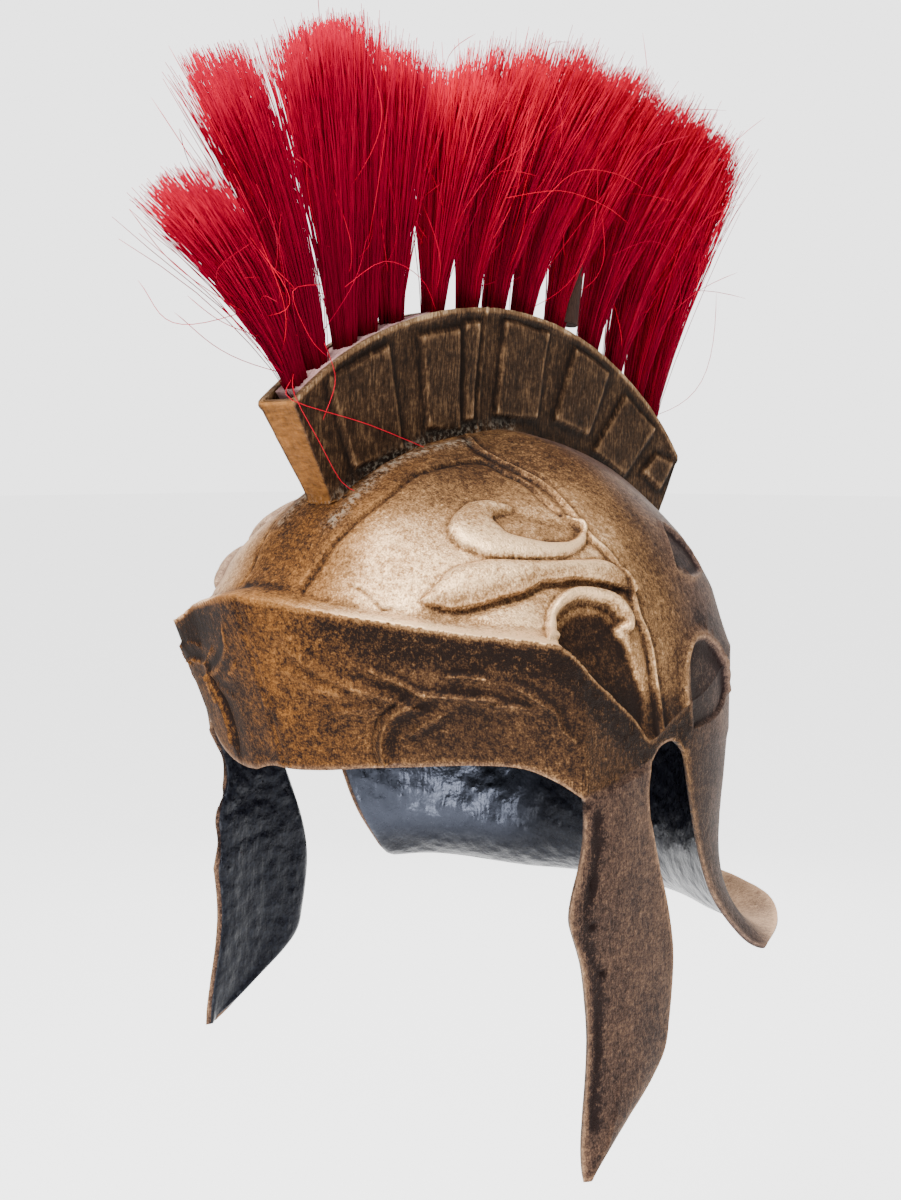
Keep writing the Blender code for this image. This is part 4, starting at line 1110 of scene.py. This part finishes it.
length_share = np.linspace(0.0, 1.0, BOX_LENGTH_STEPS + 1)
end_across = np.linspace(-1.0, 1.0, BOX_END_STEPS + 1)[1:-1]
loop_share = np.concatenate([length_share, np.ones(BOX_END_STEPS - 1), length_share[::-1],
                             np.zeros(BOX_END_STEPS - 1), [0.0]])
loop_across = np.concatenate([np.ones(BOX_LENGTH_STEPS + 1), end_across[::-1],
                              -np.ones(BOX_LENGTH_STEPS + 1), end_across, [1.0]])
box_foot = foot_place(loop_share, loop_across * BOX_FOOT_HALF)
rim_back, rim_height = rim_place(between(RIM_FRONT_TURN, RIM_BACK_TURN, loop_share))
box_rim = np.stack([loop_across * BOX_RIM_HALF, rim_back, rim_height], -1)
box_rows = np.array([between(box_rim, box_foot, step / BOX_RISE_STEPS)
                     for step in range(BOX_RISE_STEPS + 1)])
crest = grid_sheet("crest_box_cast", box_rows, LEFT)
crest = join_sheets([crest], "crest_box_cast")
add_modifier(crest, 'SOLIDIFY', thickness=BOX_WALL, offset=-1.0, use_even_offset=True)
places, normals = places_and_normals(crest)
spots = np.stack([places[:, 1], places[:, 2] - WIDEST_LINE], -1) / MM
on_wall = (normals[:, 0] * np.sign(places[:, 0]) > 0.55) * 1.0
on_plate = (np.abs(normals[:, 0]) < 0.5) & (normals[:, 2] < 0.55)
rim_gap = RIM_RADIUS / MM - np.hypot(spots[:, 0] - RIM_CENTRE_BACK / MM,
                                     spots[:, 1] - RIM_CENTRE_HEIGHT / MM)
foot_gap = spots[:, 1] - skull_height(np.abs(places[:, 0]), places[:, 1]) / MM
coarse, rough = grain(places, 60.0, 5.0), grain(places, 260.0, 2.0)
rise = 0.25 * coarse + 0.12 * rough
dark = line_share(BOX_DARK, "foot", foot_gap)
for panel in BOX_PANELS:
    depth = shape_depth(spots, panel)
    rise += on_wall * pad_share(BOX_RELIEF, "panel", depth + 0.6 * coarse)
    dark += on_wall * line_share(BOX_DARK, "panel_rim", depth + 1.2)
seam_reach = line_reach(spots, CREST_SEAM)[0]
rise += on_wall * (line_share(BOX_RELIEF, "seam", seam_reach)
                   + line_share(BOX_RELIEF, "seam_ditch", seam_reach - 1.6))
rise += on_wall * BOX_LIP_RISE * (1.0 - grows(rim_gap, BOX_LIP_DEPTH, 1.0))
rise += line_share(BOX_RELIEF, "putty", foot_gap) * (0.7 + 0.6 * coarse)
sharp = neighbour_mean(crest, rise, 1) - neighbour_mean(crest, rise, 10)
push_out(crest, places, normals, rise)
put_attributes(crest, sharp=sharp, dark=np.clip(dark, 0.0, 1.0), rim=1.0 - grows(rim_gap, 0.3, 1.8),
               plate=on_plate * (spots[:, 0] < -60.0) * 1.0,
               chalk=bead(foot_gap, 3.0) * (spots[:, 0] < 10.0))
brushed = Finish(bpy.data.materials.new("brushed_dark_bronze"))
patch = brushed.noise(80.0, 5.0, 0.65)
fleck = brushed.noise(560.0, 3.0, 0.7)
strokes = brushed.noise(200.0, 4.0, 0.7, stretch=(1.0, 6.0, 1.0))
edges = brushed.stored("sharp")
bright = (0.26 + edges.ease(0.06, 0.45) * 0.42 + brushed.stored("rim") * 0.40
          + brushed.stored("plate") * 0.20 + (patch - 0.5) * 0.6 + (strokes - 0.5) * 1.1
          + (fleck - 0.5) * 0.6 - (edges * -1.0).ease(0.02, 0.4) * 0.22
          - brushed.stored("dark") * 0.18).limit()
paint = brushed.mix(bright.ease(0.0, 0.32), (0.007, 0.004, 0.003), (0.030, 0.015, 0.008))
paint = brushed.mix(bright.ease(0.24, 0.66), paint, (0.15, 0.082, 0.040))
paint = brushed.mix(bright.ease(0.60, 1.0), paint, (0.55, 0.37, 0.21))
paint = brushed.mix(brushed.stored("plate") * 0.85, paint,
                    brushed.mix(bright, (0.03, 0.010, 0.003), (0.42, 0.16, 0.028)))
paint = brushed.mix(brushed.stored("chalk") * fleck.ease(0.48, 0.62) * 0.5, paint, (0.26, 0.23, 0.18))
brushed.give("Principled BSDF", Base_Color=paint, Metallic=0.20 + bright * 0.35,
             Roughness=0.58 - 0.14 * bright, IOR=1.20, Specular_Tint=(0.9, 0.75, 0.6),
             Normal=brushed.bump(fleck * 0.4 + strokes * 0.6 + patch * 0.4, 0.0006))
crest.data.materials.append(brushed.material)
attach(crest, "root")
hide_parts("crest_box")

# The backing strip: a band of pale webbing that holds the hair's roots, wedged in the mouth
# of the crest box. It shows as a pink line between the tufts.
STRIP_FRONT_TURN = -38.0
STRIP_BACK_TURN = 47.0
STRIP_DEPTH = 0.009
STRIP_STAND = -0.0004
STRIP_STEPS = 140
STRIP_HALF = 0.0066
strip_turns = np.linspace(STRIP_FRONT_TURN, STRIP_BACK_TURN, STRIP_STEPS + 1)
strip_rows = []
for strip_across, strip_drop in ((-1, STRIP_DEPTH), (-1, 0.0), (0, -0.0006), (1, 0.0), (1, STRIP_DEPTH),
                                 (0, STRIP_DEPTH), (-1, STRIP_DEPTH)):
    strip_back, strip_height = rim_place(strip_turns, strip_drop - STRIP_STAND)
    strip_rows.append(np.stack([np.full_like(strip_back, strip_across * STRIP_HALF),
                                strip_back, strip_height], -1))
strip = grid_sheet("backing_strip", np.array(strip_rows), LEFT)
strip = join_sheets([strip], "backing_strip")
bpy.ops.object.mode_set(mode='EDIT')
bpy.ops.mesh.select_all(action='SELECT')
bpy.ops.mesh.fill_holes(sides=0)
bpy.ops.mesh.normals_make_consistent(inside=False)
bpy.ops.object.mode_set(mode='OBJECT')
webbing = Finish(bpy.data.materials.new("pink_webbing"))
weave = webbing.noise(900.0, 2.0, 0.6)
webbing.give("Principled BSDF", Base_Color=webbing.mix(weave, (0.40, 0.16, 0.16), (0.70, 0.46, 0.43)),
             Roughness=0.9, IOR=1.3, Normal=webbing.bump(weave, 0.0005))
strip.data.materials.append(webbing.material)
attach(strip, "root")
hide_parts("crest_plume")

# The plume: fourteen tufts of dyed horsehair sewn into the strip, brushed out into a fan and
# cut. Each tuft is a bundle of wisps, and each hair a thin closed tube of three sides.
TUFTS = (  # root_back, tip_back, tip_height, half_spread
    (-0.099, -0.152, 0.181, 0.0080),
    (-0.090, -0.137, 0.225, 0.0070),
    (-0.077, -0.095, 0.240, 0.0090),
    (-0.066, -0.078, 0.247, 0.0105),
    (-0.053, -0.054, 0.243, 0.0130),
    (-0.031, -0.018, 0.243, 0.0140),
    (-0.012, 0.012, 0.254, 0.0160),
    (0.003, 0.043, 0.262, 0.0160),
    (0.020, 0.071, 0.264, 0.0160),
    (0.041, 0.098, 0.261, 0.0160),
    (0.063, 0.124, 0.256, 0.0150),
    (0.081, 0.145, 0.251, 0.0140),
    (0.097, 0.159, 0.247, 0.0110),
    (0.108, 0.160, 0.234, 0.0085),
)
TUFTS_A_PIECE = 3
WISPS = 44
HAIRS_A_WISP = 26
HAIR_STEPS = 6
ROOT_HALF = 0.0041
ROOT_DEPTH = 0.004
TIP_HALF_WIDTH = 0.0160
BEND_LEAN = 0.28
BEND_RISE = 0.52
SWEEP = 0.014
HAIR_RADII = (0.00015, 0.00018, 0.00018, 0.00018, 0.00018, 0.00016, 0.00010)
WISP_SHORTER, WISP_EDGE_SHORTER, HAIR_SHORTER = 0.21, 0.05, 0.17  # shares of the full length
LENGTH_SPREAD = 0.005
CLUMP_REACH = (0.0012, 0.0040)
LOOSE_SHARE, LOOSE_LEAN, HELD_LEAN, LEAN_LIMIT = 0.24, 0.0070, 0.0022, 1.9
OPENING_START, OPENING_POWER = 0.13, 1.15
WAVE_REACH, WAVE_COUNTS = 0.0019, (0.4, 1.3)
FRONT_TONE = 0.35
HAIR_SEED = 20
chance = np.random.default_rng(HAIR_SEED)


def tube_mesh(name, lines, radii, values):
    """One mesh of thin three-sided tubes along lines of places, each with its own values."""
    count, steps = lines.shape[:2]
    along = np.gradient(lines, axis=1)
    along /= np.linalg.norm(along, axis=2, keepdims=True)
    across = np.cross(along, np.array((0.31, 0.24, 0.92)))
    across /= np.linalg.norm(across, axis=2, keepdims=True)
    over = np.cross(along, across)
    corners = []
    for corner in range(3):
        angle = 2.0 * np.pi * corner / 3
        corners.append(lines + (across * np.cos(angle) + over * np.sin(angle)) * radii[..., None])
    spots = np.stack(corners, 2).reshape(-1, 3)
    first = (np.arange(count) * steps * 3)[:, None, None]
    ring = (np.arange(steps - 1) * 3)[None, :, None]
    corner = np.arange(3)[None, None, :]
    near = first + ring + corner
    beside = first + ring + (corner + 1) % 3
    walls = np.stack([near, beside, beside + 3, near + 3], -1).reshape(-1, 4)
    starts = first[:, 0, 0]
    ends = starts + (steps - 1) * 3
    caps = np.concatenate([np.stack([starts, starts + 2, starts + 1], -1),
                           np.stack([ends, ends + 1, ends + 2], -1)])
    data = bpy.data.meshes.new(name)
    data.from_pydata(spots.tolist(), [], walls.tolist() + caps.tolist())
    data.polygons.foreach_set("use_smooth", np.ones(len(data.polygons), bool))
    piece = bpy.data.objects.new(name, data)
    bpy.context.scene.collection.objects.link(piece)
    put_attributes(piece, **{value_name: np.repeat(value.reshape(count, steps), 3, axis=1).ravel()
                             for value_name, value in values.items()})
    return piece


def tuft_lines(root_back, tip_back, tip_height, half_spread):
    """The hairs of one tuft, each as places from root to tip, and each hair's tone."""
    hairs = WISPS * HAIRS_A_WISP
    turn = math.degrees(math.asin((root_back - RIM_CENTRE_BACK) / RIM_RADIUS))
    root = np.array((0.0, *rim_place(turn, ROOT_DEPTH)))
    tip = np.array((0.0, tip_back, tip_height + WIDEST_LINE))
    reach = tip - root
    bend = root + reach * (0.0, BEND_LEAN, BEND_RISE)
    arc_way = np.array((0.0, math.cos(math.radians(turn)), -math.sin(math.radians(turn))))
    fan_way = np.array((0.0, reach[2], -reach[1])) / np.linalg.norm(reach)
    out_way = np.array((1.0, 0.0, 0.0))
    swept = SWEEP * grows(root_back, -0.075, 0.05) * fades(root_back, 0.11, 0.05)

    def for_hairs(values):
        return np.repeat(values, HAIRS_A_WISP, axis=0)

    angle, disc = chance.uniform(0.0, 2.0 * np.pi, WISPS), np.sqrt(chance.uniform(0.0, 1.0, WISPS))
    wisp_fan, wisp_out = disc * np.cos(angle), disc * np.sin(angle)
    length = for_hairs(1.0 - WISP_SHORTER * chance.beta(1.1, 2.2, WISPS)
                       - WISP_EDGE_SHORTER * disc ** 2)
    length = (length * (1.0 - HAIR_SHORTER * chance.beta(0.7, 5.0, hairs))
              + chance.normal(0.0, LENGTH_SPREAD, hairs))
    clump = for_hairs(chance.uniform(*CLUMP_REACH, WISPS))
    own_angle, own = chance.uniform(0.0, 2.0 * np.pi, hairs), np.sqrt(chance.uniform(0.0, 1.0, hairs))
    phase = chance.uniform(0.0, 2.0 * np.pi, (2, hairs, 1))
    waves = chance.uniform(*WAVE_COUNTS, (2, hairs, 1))
    loose = np.where(chance.uniform(0.0, 1.0, hairs) < LOOSE_SHARE, LOOSE_LEAN, HELD_LEAN)[:, None]
    lean = np.clip(chance.normal(0.0, 1.0, (2, hairs, 1)), -LEAN_LIMIT, LEAN_LIMIT) * loose
    t = np.linspace(0.0, 1.0, HAIR_STEPS + 1)[None] * length[:, None]
    opened = np.clip((t - OPENING_START) / (1.0 - OPENING_START), 0.0, None) ** OPENING_POWER
    own_reach = clump[:, None] * np.sin(np.pi * np.clip(t * 0.78, 0.0, 1.0)) + 0.0005
    fan = (for_hairs(wisp_fan)[:, None] * between(ROOT_HALF, half_spread, opened)
           + (own * np.cos(own_angle))[:, None] * own_reach + lean[0] * t ** 1.3
           + WAVE_REACH * t * np.sin(phase[0] + 2.0 * np.pi * waves[0] * t)
           + swept * opened * np.clip(for_hairs(wisp_out), 0.0, 1.0)[:, None])
    out = (for_hairs(wisp_out)[:, None] * between(ROOT_HALF, TIP_HALF_WIDTH, opened)
           + (own * np.sin(own_angle))[:, None] * own_reach + lean[1] * t ** 1.3
           + WAVE_REACH * t * np.sin(phase[1] + 2.0 * np.pi * waves[1] * t))
    t = t[..., None]
    way = between(arc_way, fan_way, np.clip(t * 3.0, 0.0, 1.0))
    lines = (root * (1 - t) ** 2 + bend * 2 * t * (1 - t) + tip * t * t
             + fan[..., None] * way + out[..., None] * out_way)
    tone = np.clip(for_hairs(chance.uniform(0.0, 1.0, WISPS)) * 0.6
                   + chance.uniform(0.0, 0.4, hairs), 0.0, 1.0)
    tone = tone * between(FRONT_TONE, 1.0, grows(root_back, -0.085, 0.06))
    return lines, tone


dyed = Finish(bpy.data.materials.new("dyed_horsehair"))
hair_share, hair_tone = dyed.stored("share"), dyed.stored("tone")
# Painted light along the hairs: darker as painted shade towards the roots, brighter towards the tips and
# in the upper hairs as painted highlight; the tone of each wisp and hair differs at random, and the front
# tufts are darker.
lit = (hair_tone * 0.9 + (hair_share - 0.5) * 0.8).limit()
red = dyed.mix(lit, (0.15, 0.0002, 0.012), (0.50, 0.0006, 0.030))
red = dyed.mix((hair_share * 0.8 + hair_tone * 0.6).ease(0.78, 1.25), red, (0.62, 0.002, 0.024))
red = dyed.mix((0.20 - hair_share).ease(0.0, 0.2) * 0.6, red, (0.09, 0.0003, 0.006))
dyed.give("Principled BSDF", Base_Color=red, Roughness=0.50, IOR=1.12, Specular_Tint=(1.0, 0.20, 0.22))
for first_tuft in range(0, len(TUFTS), TUFTS_A_PIECE):
    made = [tuft_lines(*tuft) for tuft in TUFTS[first_tuft:first_tuft + TUFTS_A_PIECE]]
    lines = np.concatenate([part[0] for part in made])
    tones = np.broadcast_to(np.concatenate([part[1] for part in made])[:, None], lines.shape[:2])
    radii = np.broadcast_to(np.array(HAIR_RADII), lines.shape[:2])
    shares = np.broadcast_to(np.linspace(0.0, 1.0, HAIR_STEPS + 1), lines.shape[:2])
    tuft_piece = tube_mesh("hair_tufts_%d" % (first_tuft // TUFTS_A_PIECE + 1), lines, radii,
                           {"share": shares, "tone": tones})
    tuft_piece.data.materials.append(dyed.material)
    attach(tuft_piece, "root")
    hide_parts("crest_plume")

# Loose hairs: some have come out of the tufts, cross them in long bows or hang down over the
# crest box, and the cut core of one tuft stands up as a short dark stub.
STRAYS = (  # places of side, back and height in mm of the hairs seen on the near side
    ((8.0, -106.0, 120.0), (10.8, -108.0, 112.8), (10.2, -97.0, 98.1), (9.6, -86.0, 84.0),
     (9.6, -76.0, 79.5)),
    ((8.0, -107.0, 118.0), (10.9, -109.3, 111.1), (10.0, -72.6, 103.7), (8.2, -31.5, 92.8)),
    ((9.0, -93.0, 131.0), (11.2, -90.0, 118.6), (10.4, -95.1, 104.9)),
    ((16.0, 8.0, 186.0), (19.0, 30.0, 204.0), (18.0, 58.0, 208.0), (14.0, 84.0, 206.0)),
    ((15.0, -6.0, 190.0), (19.0, 22.0, 196.0), (19.0, 50.0, 194.0), (15.0, 72.0, 190.0)),
    ((14.0, 62.0, 176.0), (18.0, 84.0, 184.0), (18.0, 104.0, 178.0), (14.0, 112.0, 160.0)),
    ((13.0, 88.0, 190.0), (17.0, 108.0, 196.0), (17.0, 124.0, 184.0), (12.0, 126.0, 166.0)),
    ((12.0, -96.0, 150.0), (15.0, -112.0, 146.0), (14.0, -104.0, 132.0), (10.0, -92.0, 126.0)),
    ((12.0, -86.0, 150.0), (15.0, -70.0, 160.0), (15.0, -52.0, 156.0), (11.0, -40.0, 146.0)),
)
STRAY_COUNT = 260
STRAY_STEPS = 12
STRAY_RADIUS = 0.00016
STRAY_STARTS, STRAY_LENGTHS = (0.05, 0.55), (0.25, 0.5)  # shares of the way from root to tip
STRAY_SPREAD, STRAY_BOW = 0.012, 0.007
stray_lines = []
for stray in STRAYS:
    line = smooth_line(np.array(stray) * MM + (0.0, 0.0, WIDEST_LINE), STRAY_STEPS)
    share = np.linspace(0.0, len(line) - 1.0, STRAY_STEPS + 1)
    stray_lines.append(np.stack([np.interp(share, np.arange(len(line)), line[:, part])
                                 for part in range(3)], -1))
for _ in range(STRAY_COUNT):
    tuft = TUFTS[chance.integers(len(TUFTS))]
    turn = math.degrees(math.asin((tuft[0] - RIM_CENTRE_BACK) / RIM_RADIUS))
    root = np.array((0.0, *rim_place(turn, ROOT_DEPTH)))
    tip = np.array((0.0, tuft[1], tuft[2] + WIDEST_LINE))
    start = between(root, tip, chance.uniform(*STRAY_STARTS))
    toward = ((tip - root) * chance.uniform(*STRAY_LENGTHS)
              + chance.normal(0.0, STRAY_SPREAD, 3) * (0.9, 1.0, 0.6))
    bow = chance.normal(0.0, STRAY_BOW, 3) * (0.8, 1.0, 1.0)
    t = np.linspace(0.0, 1.0, STRAY_STEPS + 1)[:, None]
    stray_lines.append(start + toward * t + bow * np.sin(np.pi * t) + bow[::-1] * t ** 3)
stray_lines = np.array(stray_lines)
taper = np.full(stray_lines.shape[:2], STRAY_RADIUS)
taper[:, -1] = STRAY_RADIUS * 0.3
tones = np.broadcast_to(chance.uniform(0.35, 1.0, (len(stray_lines), 1)), taper.shape)
strays = tube_mesh("stray_hairs", stray_lines, taper, {"share": np.full(taper.shape, 0.75),
                                                       "tone": tones})
strays.data.materials.append(dyed.material)
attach(strays, "root")
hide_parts("crest_plume")

STUB_PLACE = (0.004, 0.049, WIDEST_LINE + 0.160)
STUB_LEAN = 14.0
STUB_RADII, STUB_LENGTH = (0.0040, 0.0024), 0.026
bpy.ops.object.select_all(action='DESELECT')
bpy.ops.mesh.primitive_cone_add(vertices=14, radius1=STUB_RADII[0], radius2=STUB_RADII[1],
                                depth=STUB_LENGTH, location=STUB_PLACE,
                                rotation=(math.radians(-STUB_LEAN), 0.0, 0.0))
stub = bpy.context.active_object
stub.name = "tuft_core_stub"
bpy.ops.object.transform_apply(location=True, rotation=True, scale=True)
stub_finish = Finish(bpy.data.materials.new("dark_tuft_core"))
fibre = stub_finish.noise(500.0, 3.0, 0.6, stretch=(3.0, 3.0, 0.5))
stub_finish.give("Principled BSDF", Base_Color=stub_finish.mix(fibre, (0.006, 0.003, 0.002),
                                                              (0.050, 0.022, 0.014)),
                 Roughness=0.8, IOR=1.3, Normal=stub_finish.bump(fibre, 0.0008))
stub.data.materials.append(stub_finish.material)
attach(stub, "root")
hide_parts("crest_plume")
